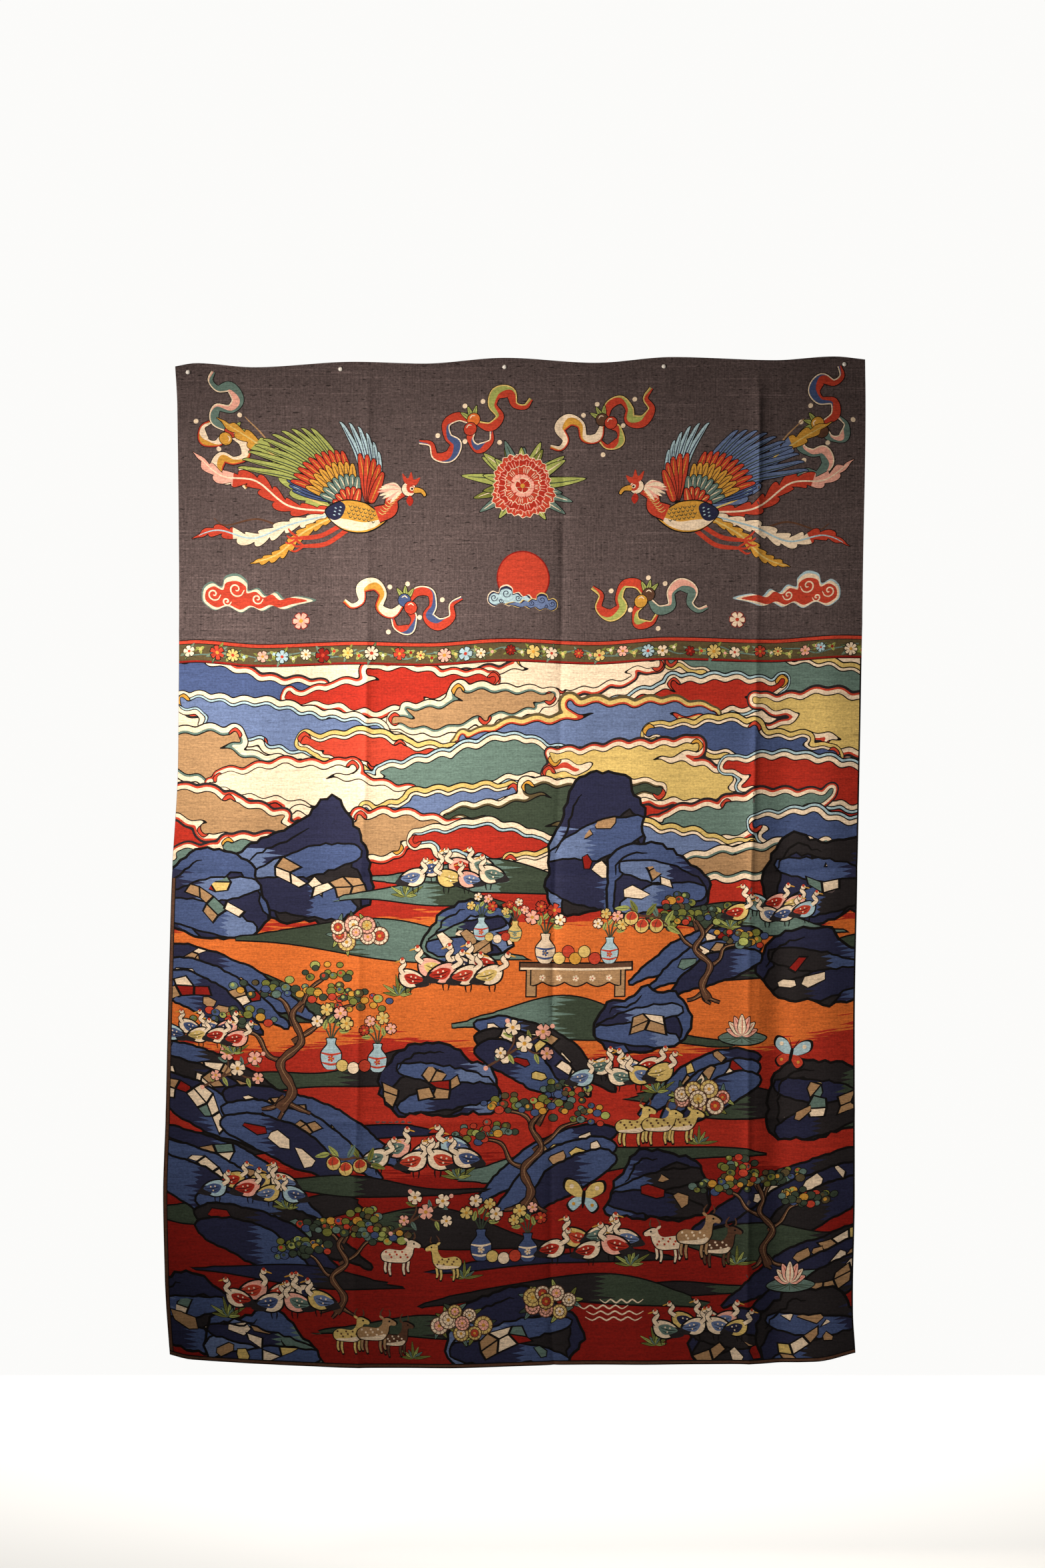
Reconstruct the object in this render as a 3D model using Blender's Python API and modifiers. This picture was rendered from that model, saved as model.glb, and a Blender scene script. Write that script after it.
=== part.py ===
"""Embroidered silk panel, hung by its top hem from five white push pins.

Metres, +Z up. The pins are pushed into the plane y = 0, the panel hangs in front of it, towards -Y,
and the origin is where the middle pin meets that plane. A place on the cloth is a pair (u, v): u
runs from 0 at the left edge to 1 at the right, and v from 0 at the top edge to 1 at the bottom.
"""

import math

import bmesh
import bpy
from mathutils import Vector

PANEL_WIDTH = 1.300
PANEL_HEIGHT = 1.890
CLOTH_THICKNESS = 0.0012
HEM_THICKNESS = 0.0024
SIDE_HEM = 0.008
TOP_HEM = 0.022
HEM_STEP = 0.0015

# The pins: where each one meets the plane y = 0.
PINS = (
    # name, x, z
    ("pin_1", -0.598, -0.010),
    ("pin_2", -0.310, -0.004),
    ("pin_3", 0.000, 0.000),
    ("pin_4", 0.301, 0.001),
    ("pin_5", 0.642, 0.005),
)
PIN_HEAD_RADIUS = 0.0041
PIN_HEAD_HEIGHT = 0.0034
PIN_SHANK_RADIUS = 0.0006
PIN_DEPTH = 0.010
PIN_POINT = 0.003
PIN_STEPS = 20
PIN_RIM = 0.0008
PIN_RIM_ROUND = 0.0003
DOME_DEGREES = (30, 55, 78)
HOLE_LENGTH = 0.020
CLEARANCE = 0.0003

# The outline. Each table is (place along the edge, coordinate), joined by a smooth curve.
LEFT_EDGE_X = (
    # v, x
    (0.00, -0.622),
    (0.04, -0.618),
    (0.24, -0.614),
    (0.40, -0.616),
    (0.52, -0.628),
    (0.64, -0.634),
    (0.76, -0.639),
    (0.84, -0.644),
    (0.92, -0.641),
    (1.00, -0.630),
)
RIGHT_EDGE_X = (
    # v, x
    (0.00, 0.681),
    (0.04, 0.682),
    (0.20, 0.677),
    (0.36, 0.672),
    (0.52, 0.666),
    (0.68, 0.661),
    (0.84, 0.661),
    (0.96, 0.657),
    (1.00, 0.661),
)
TOP_EDGE_Z = (
    # u, z: the edge peaks over each pin and sags between them
    (0.000, 0.001),
    (0.030, 0.0075),
    (0.115, -0.001),
    (0.258, 0.010),
    (0.360, 0.006),
    (0.478, 0.0175),
    (0.608, 0.0075),
    (0.720, 0.019),
    (0.868, 0.0125),
    (0.955, 0.020),
    (1.000, 0.014),
)
BOTTOM_EDGE_Z = (
    # u, z: the corners ride up, and the left half hangs lowest
    (0.00, -1.861),
    (0.03, -1.871),
    (0.12, -1.880),
    (0.27, -1.889),
    (0.40, -1.889),
    (0.60, -1.883),
    (0.85, -1.8815),
    (0.94, -1.876),
    (1.00, -1.858),
)

# Creases from long storage, folded in four across and in four down. A ridge has a height above 0,
# and a valley one below 0. Each is stronger in some stretches than in others.
CREASES_DOWN = (
    # u, height, reach, height at the bottom edge
    (0.276, 0.0034, 0.016, 0.0016),
    (0.560, -0.0028, 0.015, -0.0034),
    (0.845, 0.0052, 0.013, 0.0040),
)
CREASES_ACROSS = (
    # v, height, reach
    (0.267, 0.0014, 0.012),
    (0.512, -0.0026, 0.012),
    (0.756, 0.0024, 0.012),
)
# How unevenly the creases are pressed: a strength, then two slanting ripples of it (turns down,
# turns across, start).
CREASE_UNEVENNESS = 0.45
CREASE_RIPPLES = ((9.0, 14.0, 0.0), (-4.0, 5.0, 1.0))
# Soft waves that run down the cloth, and where each one starts and is full.
WAVES = (
    # u, half width, depth, v where it starts, v where it is full
    (0.110, 0.075, 0.0060, 0.05, 0.50),
    (0.215, 0.050, -0.0035, 0.00, 0.35),
    (0.415, 0.080, 0.0050, 0.10, 0.70),
    (0.690, 0.075, 0.0055, 0.00, 0.30),
    (0.890, 0.034, -0.0100, 0.25, 0.62),
    (0.960, 0.045, 0.0060, 0.05, 0.55),
)
# Where the corners and the hem curl forward.
CURLS = (
    # u, v, half width in u, half height in v, lift
    (0.00, 1.00, 0.10, 0.10, 0.017),
    (1.00, 1.00, 0.12, 0.09, 0.014),
    (0.00, 0.72, 0.05, 0.20, 0.006),
    (1.00, 0.00, 0.06, 0.03, 0.004),
    (0.00, 0.00, 0.03, 0.02, 0.003),
)
STANDOFF_AT_PINS = 0.0034
STANDOFF_BELOW = 0.0125
STANDOFF_FALL = 0.10
BELLY_BETWEEN_PINS = 0.0060
BELLY_FALL = 0.045
CREASES_START = 0.05

# The grid that carries the folds: even lines, with more beside each crease and hem.
EVEN_COLUMNS = 26
EVEN_ROWS = 32
BESIDE_A_CREASE = (-0.030, -0.010, 0.0, 0.010, 0.030)
NEAREST_LINES = 0.006
SEARCH_STEPS = 8
RIM_SAMPLES = 12


def smooth_table(table, place):
    """The value at a place along a table, on a curve through its rows that never overshoots them."""
    places = [row[0] for row in table]
    values = [row[1] for row in table]
    slopes = [
        (values[i + 1] - values[i]) / (places[i + 1] - places[i])
        for i in range(len(table) - 1)
    ]
    tangents = [slopes[0]]
    for before, after in zip(slopes, slopes[1:]):
        turns = before * after <= 0
        tangents.append(0.0 if turns else 2 * before * after / (before + after))
    tangents.append(slopes[-1])
    i = max(k for k in range(len(slopes)) if places[k] <= place or k == 0)
    span = places[i + 1] - places[i]
    t = (place - places[i]) / span
    return (
        values[i] * (1 + 2 * t) * (1 - t) ** 2
        + tangents[i] * span * t * (1 - t) ** 2
        + values[i + 1] * t * t * (3 - 2 * t)
        + tangents[i + 1] * span * t * t * (t - 1)
    )


def ease(t):
    """0 below 0, 1 above 1, and a smooth step between them."""
    t = min(1.0, max(0.0, t))
    return t * t * (3 - 2 * t)


def hump(distance, half_width):
    """A smooth hump, 1 at its middle and 0 from half_width away."""
    return ease(1 - abs(distance) / half_width)


def belly(u):
    """0 at each pin's column, and 1 midway between two pins."""
    columns = [pin_column(x) for _, x, _ in PINS]
    for left, right in zip(columns, columns[1:]):
        if left <= u <= right:
            return math.sin(math.pi * (u - left) / (right - left)) ** 2
    return 0.0


def pin_column(x):
    """The u of a pin, near enough, from its x at the top edge."""
    left, right = LEFT_EDGE_X[0][1], RIGHT_EDGE_X[0][1]
    return (x - left) / (right - left)


def unevenness(u, v):
    """How strong a crease is at a place, about 1."""
    strength = CREASE_UNEVENNESS
    for down, across, start in CREASE_RIPPLES:
        strength *= math.sin(down * v + across * u + start)
    return 1 + strength


def stand_off(u, v):
    """How far the face of the cloth stands from the plane y = 0."""
    below = 1 - math.exp(-v / STANDOFF_FALL)
    depth = STANDOFF_AT_PINS + (STANDOFF_BELOW - STANDOFF_AT_PINS) * below
    depth += BELLY_BETWEEN_PINS * belly(u) * math.exp(-v / BELLY_FALL)
    uneven = unevenness(u, v)
    held = uneven * ease(v / CREASES_START)
    for place, height, reach, low_height in CREASES_DOWN:
        away = abs(u - place) * PANEL_WIDTH
        depth += held * (height + (low_height - height) * v) * math.exp(-away / reach)
    for place, height, reach in CREASES_ACROSS:
        away = abs(v - place) * PANEL_HEIGHT
        depth += uneven * height * math.exp(-away / reach)
    for place, half_width, wave, start, full in WAVES:
        depth += wave * hump(u - place, half_width) * ease((v - start) / (full - start))
    for place_u, place_v, half_u, half_v, lift in CURLS:
        depth += lift * hump(u - place_u, half_u) * hump(v - place_v, half_v)
    return depth


def on_cloth(u, v):
    """The point of the cloth's face at (u, v)."""
    left = smooth_table(LEFT_EDGE_X, v)
    right = smooth_table(RIGHT_EDGE_X, v)
    top = smooth_table(TOP_EDGE_Z, u)
    bottom = smooth_table(BOTTOM_EDGE_Z, u)
    return Vector((left + (right - left) * u, -stand_off(u, v), top + (bottom - top) * v))


def grid_lines(even, creases, length, first_hem, last_hem):
    """Places from 0 to 1: both hems' edges, the lines beside each crease, and even lines between."""
    fixed = [0.0, first_hem / length, (first_hem + HEM_STEP) / length]
    fixed += [1 - (last_hem + HEM_STEP) / length, 1 - last_hem / length, 1.0]
    fixed += [row[0] + step / length for row in creases for step in BESIDE_A_CREASE]
    lines = list(fixed)
    for i in range(1, even):
        if min(abs(i / even - place) for place in fixed) > NEAREST_LINES:
            lines.append(i / even)
    return sorted(lines)


def in_hem(u, v):
    """Whether a place on the cloth lies in a hem, where the cloth is double."""
    sides = min(u, 1 - u) * PANEL_WIDTH < SIDE_HEM + CLEARANCE
    bottom = (1 - v) * PANEL_HEIGHT < SIDE_HEM + CLEARANCE
    top = v * PANEL_HEIGHT < TOP_HEM + CLEARANCE
    return sides or bottom or top


def material(name, colour, roughness, metallic=0.0):
    made = bpy.data.materials.new(name)
    made.use_nodes = True
    shader = made.node_tree.nodes["Principled BSDF"]
    shader.inputs["Base Color"].default_value = (*colour, 1.0)
    shader.inputs["Roughness"].default_value = roughness
    shader.inputs["Metallic"].default_value = metallic
    return made


def add_object(name, bm, collection, finish=None):
    mesh = bpy.data.meshes.new(name)
    bm.to_mesh(mesh)
    bm.free()
    obj = bpy.data.objects.new(name, mesh)
    collection.objects.link(obj)
    if finish:
        mesh.materials.append(finish)
    return obj


def make_panel(collection, finish):
    """The cloth: a grid laid on the folds, thickened to the back, and thicker along its hems."""
    columns = grid_lines(EVEN_COLUMNS, CREASES_DOWN, PANEL_WIDTH, SIDE_HEM, SIDE_HEM)
    rows = grid_lines(EVEN_ROWS, CREASES_ACROSS, PANEL_HEIGHT, TOP_HEM, SIDE_HEM)
    across, down = len(columns) - 1, len(rows) - 1
    bm = bmesh.new()
    bmesh.ops.create_grid(bm, x_segments=across, y_segments=down, size=0.5)
    hemmed = []
    for vert in bm.verts:
        u = columns[round((vert.co.x + 0.5) * across)]
        v = rows[round((0.5 - vert.co.y) * down)]
        hemmed.append(in_hem(u, v))
        vert.co = on_cloth(u, v)
    panel = add_object("silk_panel", bm, collection, finish)
    panel.data.shade_smooth()
    doubled = panel.vertex_groups.new(name="hem")
    doubled.add([i for i, is_hem in enumerate(hemmed) if is_hem], 1.0, "REPLACE")
    thicken = panel.modifiers.new("thicken", "SOLIDIFY")
    thicken.thickness = HEM_THICKNESS
    thicken.offset = -1.0
    thicken.vertex_group = doubled.name
    thicken.thickness_vertex_group = CLOTH_THICKNESS / HEM_THICKNESS
    return panel


def pierce(panel, cutters):
    """A hole in the top hem for each pin's shank, a little wider than the shank."""
    for name, x, z in PINS:
        bm = bmesh.new()
        bmesh.ops.create_cone(
            bm,
            cap_ends=True,
            segments=PIN_STEPS // 2,
            radius1=PIN_SHANK_RADIUS + CLEARANCE,
            radius2=PIN_SHANK_RADIUS + CLEARANCE,
            depth=HOLE_LENGTH,
        )
        cutter = add_object(name + "_hole", bm, cutters)
        cutter.location = (x, -STANDOFF_AT_PINS, z)
        cutter.rotation_euler = (math.pi / 2, 0, 0)
        cutter.hide_render = True
        cutter.display_type = "WIRE"
        hole = panel.modifiers.new(name + "_hole", "BOOLEAN")
        hole.operation = "DIFFERENCE"
        hole.solver = "EXACT"
        hole.object = cutter


def nearest_place(x, z):
    """The (u, v) of the point of the cloth that lies over (x, z), by a few steps of correction."""
    u, v = pin_column(x), 0.0
    for _ in range(SEARCH_STEPS):
        point = on_cloth(u, v)
        u += (x - point.x) / PANEL_WIDTH
        v -= (z - point.z) / PANEL_HEIGHT
    return u, v


def head_back(x, z):
    """The depth of a pin head's flat back, clear of the highest cloth that lies under it."""
    u, v = nearest_place(x, z)
    highest = 0.0
    for i in range(RIM_SAMPLES):
        angle = math.tau * i / RIM_SAMPLES
        du = PIN_HEAD_RADIUS * math.cos(angle) / PANEL_WIDTH
        dv = PIN_HEAD_RADIUS * math.sin(angle) / PANEL_HEIGHT
        highest = max(highest, stand_off(u + du, v + dv))
    return highest + CLEARANCE


def make_pin(name, x, z, collection, finish):
    """A push pin, turned about its own axis: a domed head, a thin shank and a point."""
    back = head_back(x, z)
    profile = [(0.0, back + PIN_HEAD_HEIGHT)]
    for degrees in DOME_DEGREES:
        angle = math.radians(degrees)
        dome = back + PIN_RIM + (PIN_HEAD_HEIGHT - PIN_RIM) * math.cos(angle)
        profile.append((PIN_HEAD_RADIUS * math.sin(angle), dome))
    profile += [
        (PIN_HEAD_RADIUS, back + PIN_RIM),
        (PIN_HEAD_RADIUS - PIN_RIM_ROUND, back),
        (PIN_SHANK_RADIUS, back),
        (PIN_SHANK_RADIUS, PIN_POINT - PIN_DEPTH),
        (0.0, -PIN_DEPTH),
    ]
    bm = bmesh.new()
    verts = [bm.verts.new((radius, 0.0, height)) for radius, height in profile]
    for a, b in zip(verts, verts[1:]):
        bm.edges.new((a, b))
    pin = add_object(name, bm, collection, finish)
    turn = pin.modifiers.new("turn", "SCREW")
    turn.axis = "Z"
    turn.steps = PIN_STEPS
    turn.render_steps = PIN_STEPS
    turn.use_merge_vertices = True
    turn.merge_threshold = 0.00001
    turn.use_smooth_shade = True
    pin.location = (x, 0.0, z)
    pin.rotation_euler = (math.pi / 2, 0, 0)
    return pin


def main():
    for obj in list(bpy.data.objects):
        bpy.data.objects.remove(obj)
    parts = bpy.data.collections.new("embroidered_silk_panel")
    cutters = bpy.data.collections.new("cutters")
    bpy.context.scene.collection.children.link(parts)
    bpy.context.scene.collection.children.link(cutters)
    silk = material("slate_silk", (0.085, 0.072, 0.078), 0.75)
    enamel = material("white_enamel", (0.86, 0.83, 0.80), 0.25)
    panel = make_panel(parts, silk)
    pierce(panel, cutters)
    for name, x, z in PINS:
        make_pin(name, x, z, parts, enamel)


main()
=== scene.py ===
"""The looks of an embroidered silk panel that hangs from five pins.

The cloth is one thin sheet on the folds of its solid. The design lies on it as patches of silk, one
piece for each thread colour: flat outlines in millimetres are drawn over each other, cut into one
map of triangles, and laid on the folds. Lengths are in metres, apart from the flat design.
"""

import math
import random

import bpy
import numpy as np
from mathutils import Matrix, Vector
from mathutils.geometry import delaunay_2d_cdt


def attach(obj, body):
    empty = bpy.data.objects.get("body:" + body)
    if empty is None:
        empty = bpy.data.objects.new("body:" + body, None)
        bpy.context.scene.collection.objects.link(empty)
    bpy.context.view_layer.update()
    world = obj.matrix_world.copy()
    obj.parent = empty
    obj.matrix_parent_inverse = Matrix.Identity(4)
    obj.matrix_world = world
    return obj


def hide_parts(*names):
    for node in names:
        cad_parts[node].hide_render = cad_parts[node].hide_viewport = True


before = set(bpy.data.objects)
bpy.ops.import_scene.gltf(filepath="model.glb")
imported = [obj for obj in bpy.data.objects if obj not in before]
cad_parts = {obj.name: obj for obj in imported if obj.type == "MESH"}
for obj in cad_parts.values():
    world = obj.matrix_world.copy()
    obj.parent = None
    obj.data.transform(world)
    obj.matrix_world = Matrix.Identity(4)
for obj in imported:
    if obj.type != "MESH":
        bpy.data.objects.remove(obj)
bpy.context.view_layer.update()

# The cloth's flat size in millimetres, and how far threads stand on it.
WIDE, TALL = 1300.0, 1890.0
GROUND_LIFT, DETAIL_LIFT, LINE_LIFT = 0.35, 0.55, 0.75

# The outline, as the solid has it: (place along the edge, coordinate).
LEFT_EDGE_X = (
    # v, x
    (0.00, -0.622), (0.04, -0.618), (0.24, -0.614), (0.40, -0.616), (0.52, -0.628),
    (0.64, -0.634), (0.76, -0.639), (0.84, -0.644), (0.92, -0.641), (1.00, -0.630),
)
RIGHT_EDGE_X = (
    # v, x
    (0.00, 0.681), (0.04, 0.682), (0.20, 0.677), (0.36, 0.672), (0.52, 0.666),
    (0.68, 0.661), (0.84, 0.661), (0.96, 0.657), (1.00, 0.661),
)
TOP_EDGE_Z = (
    # u, z
    (0.000, 0.001), (0.030, 0.0075), (0.115, -0.001), (0.258, 0.010), (0.360, 0.006), (0.478, 0.0175),
    (0.608, 0.0075), (0.720, 0.019), (0.868, 0.0125), (0.955, 0.020), (1.000, 0.014),
)
BOTTOM_EDGE_Z = (
    # u, z
    (0.00, -1.861), (0.03, -1.871), (0.12, -1.880), (0.27, -1.889), (0.40, -1.889),
    (0.60, -1.883), (0.85, -1.8815), (0.94, -1.876), (1.00, -1.858),
)
PIN_X = (-0.598, -0.310, 0.000, 0.301, 0.642)
CREASES_DOWN = (
    # u, height, reach, height at the bottom edge
    (0.276, 0.0034, 0.016, 0.0016),
    (0.560, -0.0028, 0.015, -0.0034),
    (0.845, 0.0052, 0.013, 0.0040),
)
CREASES_ACROSS = (
    # v, height, reach
    (0.267, 0.0014, 0.012),
    (0.512, -0.0026, 0.012),
    (0.756, 0.0024, 0.012),
)
CREASE_UNEVENNESS = 0.45
CREASE_RIPPLES = ((9.0, 14.0, 0.0), (-4.0, 5.0, 1.0))
CREASE_SOFTNESS = 0.0015
WAVES = (
    # u, half width, depth, v where it starts, v where it is full
    (0.110, 0.075, 0.0060, 0.05, 0.50),
    (0.215, 0.050, -0.0035, 0.00, 0.35),
    (0.415, 0.080, 0.0050, 0.10, 0.70),
    (0.690, 0.075, 0.0055, 0.00, 0.30),
    (0.890, 0.034, -0.0100, 0.25, 0.62),
    (0.960, 0.045, 0.0060, 0.05, 0.55),
)
CURLS = (
    # u, v, half width in u, half height in v, lift
    (0.00, 1.00, 0.10, 0.10, 0.017),
    (1.00, 1.00, 0.12, 0.09, 0.014),
    (0.00, 0.72, 0.05, 0.20, 0.006),
    (1.00, 0.00, 0.06, 0.03, 0.004),
    (0.00, 0.00, 0.03, 0.02, 0.003),
)
STANDOFF_AT_PINS, STANDOFF_BELOW, STANDOFF_FALL = 0.0034, 0.0125, 0.10
BELLY_BETWEEN_PINS, BELLY_FALL = 0.0060, 0.045
CREASES_START = 0.05


def smooth_table(table, places):
    """Values at places along a table, on a curve through its rows that never overshoots them."""
    at, values = np.array(table).T
    slopes = np.diff(values) / np.diff(at)
    before, after = slopes[:-1], slopes[1:]
    same = before * after > 0
    inner = np.where(same, 2 * before * after / np.where(same, before + after, 1), 0)
    tangents = np.concatenate([slopes[:1], inner, slopes[-1:]])
    places = np.asarray(places, float)
    i = np.clip(np.searchsorted(at, places, "right") - 1, 0, len(slopes) - 1)
    span = at[i + 1] - at[i]
    t = (places - at[i]) / span
    start = values[i] * (1 + 2 * t) * (1 - t) ** 2 + tangents[i] * span * t * (1 - t) ** 2
    return start + values[i + 1] * t * t * (3 - 2 * t) + tangents[i + 1] * span * t * t * (t - 1)


def ease(t):
    """0 below 0, 1 above 1, and a smooth step between them."""
    t = np.clip(t, 0, 1)
    return t * t * (3 - 2 * t)


def hump(distance, half_width):
    return ease(1 - abs(distance) / half_width)


def belly(u):
    """0 at each pin's column, and 1 midway between two pins."""
    left, right = LEFT_EDGE_X[0][1], RIGHT_EDGE_X[0][1]
    columns = [(x - left) / (right - left) for x in PIN_X]
    place = np.interp(u, columns, np.arange(len(columns)))
    return np.sin(np.pi * place) ** 2


def crease(away, height, reach):
    """A ridge or a valley with a slightly rounded fold line."""
    away = np.sqrt(away**2 + CREASE_SOFTNESS**2) - CREASE_SOFTNESS
    return height * np.exp(-away / reach)


def stand_off(u, v):
    """How far the face of the cloth stands from the plane y = 0."""
    depth = STANDOFF_AT_PINS + (STANDOFF_BELOW - STANDOFF_AT_PINS) * (1 - np.exp(-v / STANDOFF_FALL))
    depth += BELLY_BETWEEN_PINS * belly(u) * np.exp(-v / BELLY_FALL)
    uneven = CREASE_UNEVENNESS
    for down, across, start in CREASE_RIPPLES:
        uneven = uneven * np.sin(down * v + across * u + start)
    uneven = 1 + uneven
    for place, height, reach, low_height in CREASES_DOWN:
        now = height + (low_height - height) * v
        depth += uneven * ease(v / CREASES_START) * crease((u - place) * WIDE / 1000, now, reach)
    for place, height, reach in CREASES_ACROSS:
        depth += uneven * crease((v - place) * TALL / 1000, height, reach)
    for place, half_width, wave, start, full in WAVES:
        depth += wave * hump(u - place, half_width) * ease((v - start) / (full - start))
    for place_u, place_v, half_u, half_v, lift in CURLS:
        depth += lift * hump(u - place_u, half_u) * hump(v - place_v, half_v)
    return depth


# Pressed fold lines, sharper than the solid has them: (place, height, reach).
PINCHES_DOWN = ((0.276, 0.0034, 0.007), (0.560, -0.0030, 0.007), (0.845, 0.0050, 0.009))
PINCHES_ACROSS = (
    (0.026, 0.0012, 0.005), (0.267, 0.0018, 0.006), (0.512, -0.0024, 0.006), (0.756, 0.0024, 0.006),
)


def pinched(u, v):
    """The depth of the pressed fold lines, which wander a little and come and go."""
    depth = 0.0
    for place, height, reach in PINCHES_DOWN:
        away = (u - place + 0.0016 * np.sin(9 * v + 40 * place)) * WIDE / 1000
        strength = (0.62 + 0.38 * np.sin(17 * v + 30 * place)) * ease(v * 20)
        depth = depth + crease(away, height, reach) * strength
    for place, height, reach in PINCHES_ACROSS:
        away = (v - place + 0.0010 * np.sin(11 * u + 40 * place)) * TALL / 1000
        depth = depth + crease(away, height, reach) * (0.55 + 0.45 * np.sin(13 * u + 30 * place))
    return depth


# Fine puckers, where the threads draw the cloth in: (turns across, turns down, start, depth).
PUCKERS = (
    (31, 9, 0.3, 0.00022), (-17, 37, 1.9, 0.00020), (53, -23, 4.1, 0.00012),
    (11, 71, 2.6, 0.00016), (83, 13, 5.2, 0.00008), (-47, 61, 0.9, 0.00008),
)


def lay(x, y, lift=0.0):
    """Points of the hanging cloth for places on the flat cloth, in millimetres, stood off by a lift."""
    u, v = np.asarray(x, float) / WIDE, np.asarray(y, float) / TALL
    left, right = smooth_table(LEFT_EDGE_X, v), smooth_table(RIGHT_EDGE_X, v)
    top, bottom = smooth_table(TOP_EDGE_Z, u), smooth_table(BOTTOM_EDGE_Z, u)
    depth = stand_off(u, v) + pinched(u, v) + np.asarray(lift) / 1000
    for across, down, start, height in PUCKERS:
        depth += height * np.sin(across * u + down * v + start) * ease(v * 12)
    return np.stack([left + (right - left) * u, -depth, top + (bottom - top) * v], -1)


THREADS = {
    # name: sRGB, 0 to 255
    "ink": (13, 10, 10),
    "charcoal": (38, 34, 36),
    "navy": (38, 40, 68),
    "blue": (68, 84, 126),
    "sky_blue": (100, 118, 158),
    "pale_blue": (168, 196, 206),
    "teal": (98, 122, 114),
    "pine": (58, 70, 56),
    "olive": (88, 76, 50),
    "moss": (118, 122, 56),
    "leaf": (160, 168, 92),
    "cream": (238, 216, 188),
    "straw": (214, 186, 112),
    "gold": (204, 150, 60),
    "tan": (170, 134, 96),
    "brown": (92, 62, 46),
    "pink": (238, 174, 156),
    "coral": (188, 64, 44),
    "red": (172, 44, 30),
    "deep_red": (140, 26, 18),
    "orange": (214, 110, 48),
}
shapes = []


def paint(outline, thread, lift=GROUND_LIFT, inside=None):
    """Adds a patch of one thread colour over what is there, within another patch if one is named."""
    shapes.append((np.asarray(outline, float), thread, lift, inside))
    return len(shapes) - 1


def curve(points, step=4.0, closed=True):
    """A smooth line through a few points, with a point about every step."""
    p = np.asarray(points, float)
    if closed:
        q = np.vstack([p[-1:], p, p[:2]])
    else:
        q = np.vstack([2 * p[0] - p[1], p, 2 * p[-1] - p[-2]])
    line = []
    for a, b, c, d in zip(q, q[1:], q[2:], q[3:]):
        n = max(2, int(np.hypot(*(c - b)) / step))
        t = np.arange(n)[:, None] / n
        square, cube = 2 * a - 5 * b + 4 * c - d, 3 * b - a - 3 * c + d
        line.append(b + (c - a) * t / 2 + square * t**2 / 2 + cube * t**3 / 2)
    if not closed:
        line.append(p[-1:])
    return np.vstack(line)


def strip(path, one_side, other_side):
    """The outline of a band along a path, between two distances from it."""
    ahead = np.gradient(path, axis=0)
    side = np.stack([ahead[:, 1], -ahead[:, 0]], 1)
    side /= np.maximum(np.hypot(ahead[:, 0], ahead[:, 1]), 1e-9)[:, None]
    one, other = (np.broadcast_to(d, len(path))[:, None] for d in (one_side, other_side))
    return np.vstack([path + side * one, (path + side * other)[::-1]])


def taper(path, start, end):
    """A width for each point of a path, 1 in the middle, and start and end at its ends."""
    t = np.linspace(0, 1, len(path))
    swell = np.sin(np.pi * t) ** 0.6
    return swell + (1 - swell) * np.where(t < 0.5, start, end)


def line(points, width, thread, lift=LINE_LIFT, inside=None, ends=(0.4, 0.4), step=4.0, smooth=True):
    """A line of thread, thinner at its ends."""
    path = curve(points, step, closed=False) if smooth else np.asarray(points, float)
    half = taper(path, *ends) * width / 2
    paint(strip(path, half, -half), thread, lift, inside)


def disc(x, y, radius, thread, lift=DETAIL_LIFT, sides=12, squash=1.0):
    a = np.arange(sides) * math.tau / sides
    paint(np.stack([x + radius * np.cos(a), y + squash * radius * np.sin(a)], 1), thread, lift)


def turned(points, x, y, angle):
    """Points turned by an angle in radians, and then moved to x, y."""
    c, s = math.cos(angle), math.sin(angle)
    return [(x + c * px - s * py, y + s * px + c * py) for px, py in points]


class Spot:
    """A place on the cloth for a motif: its own x runs right and its own y runs down."""

    def __init__(self, x, y, size=1.0, turn=0.0, flip=False):
        self.x, self.y, self.size, self.flip = x, y, size, flip
        self.cos, self.sin = math.cos(math.radians(turn)), math.sin(math.radians(turn))

    def __call__(self, points):
        p = np.asarray(points, float).reshape(-1, 2) * self.size
        x = p[:, 0] * self.cos - p[:, 1] * self.sin
        y = p[:, 0] * self.sin + p[:, 1] * self.cos
        return np.stack([self.x + (-x if self.flip else x), self.y + y], 1)

    def paint(self, points, thread, lift=DETAIL_LIFT, inside=None):
        return paint(curve(self(points), 3.0), thread, lift, inside)

    def line(self, points, width, thread, lift=LINE_LIFT, inside=None, ends=(0.4, 0.4)):
        line(self(points), width * self.size, thread, lift, inside, ends, 3.0)

    def disc(self, x, y, radius, thread, lift=DETAIL_LIFT):
        (cx, cy), = self((x, y))
        disc(cx, cy, radius * self.size, thread, lift)

    def ball(self, x, y, radius, rim, thread):
        """A disc with a dark rim."""
        self.disc(x, y, radius + rim, "ink")
        self.disc(x, y, radius, thread)


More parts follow.
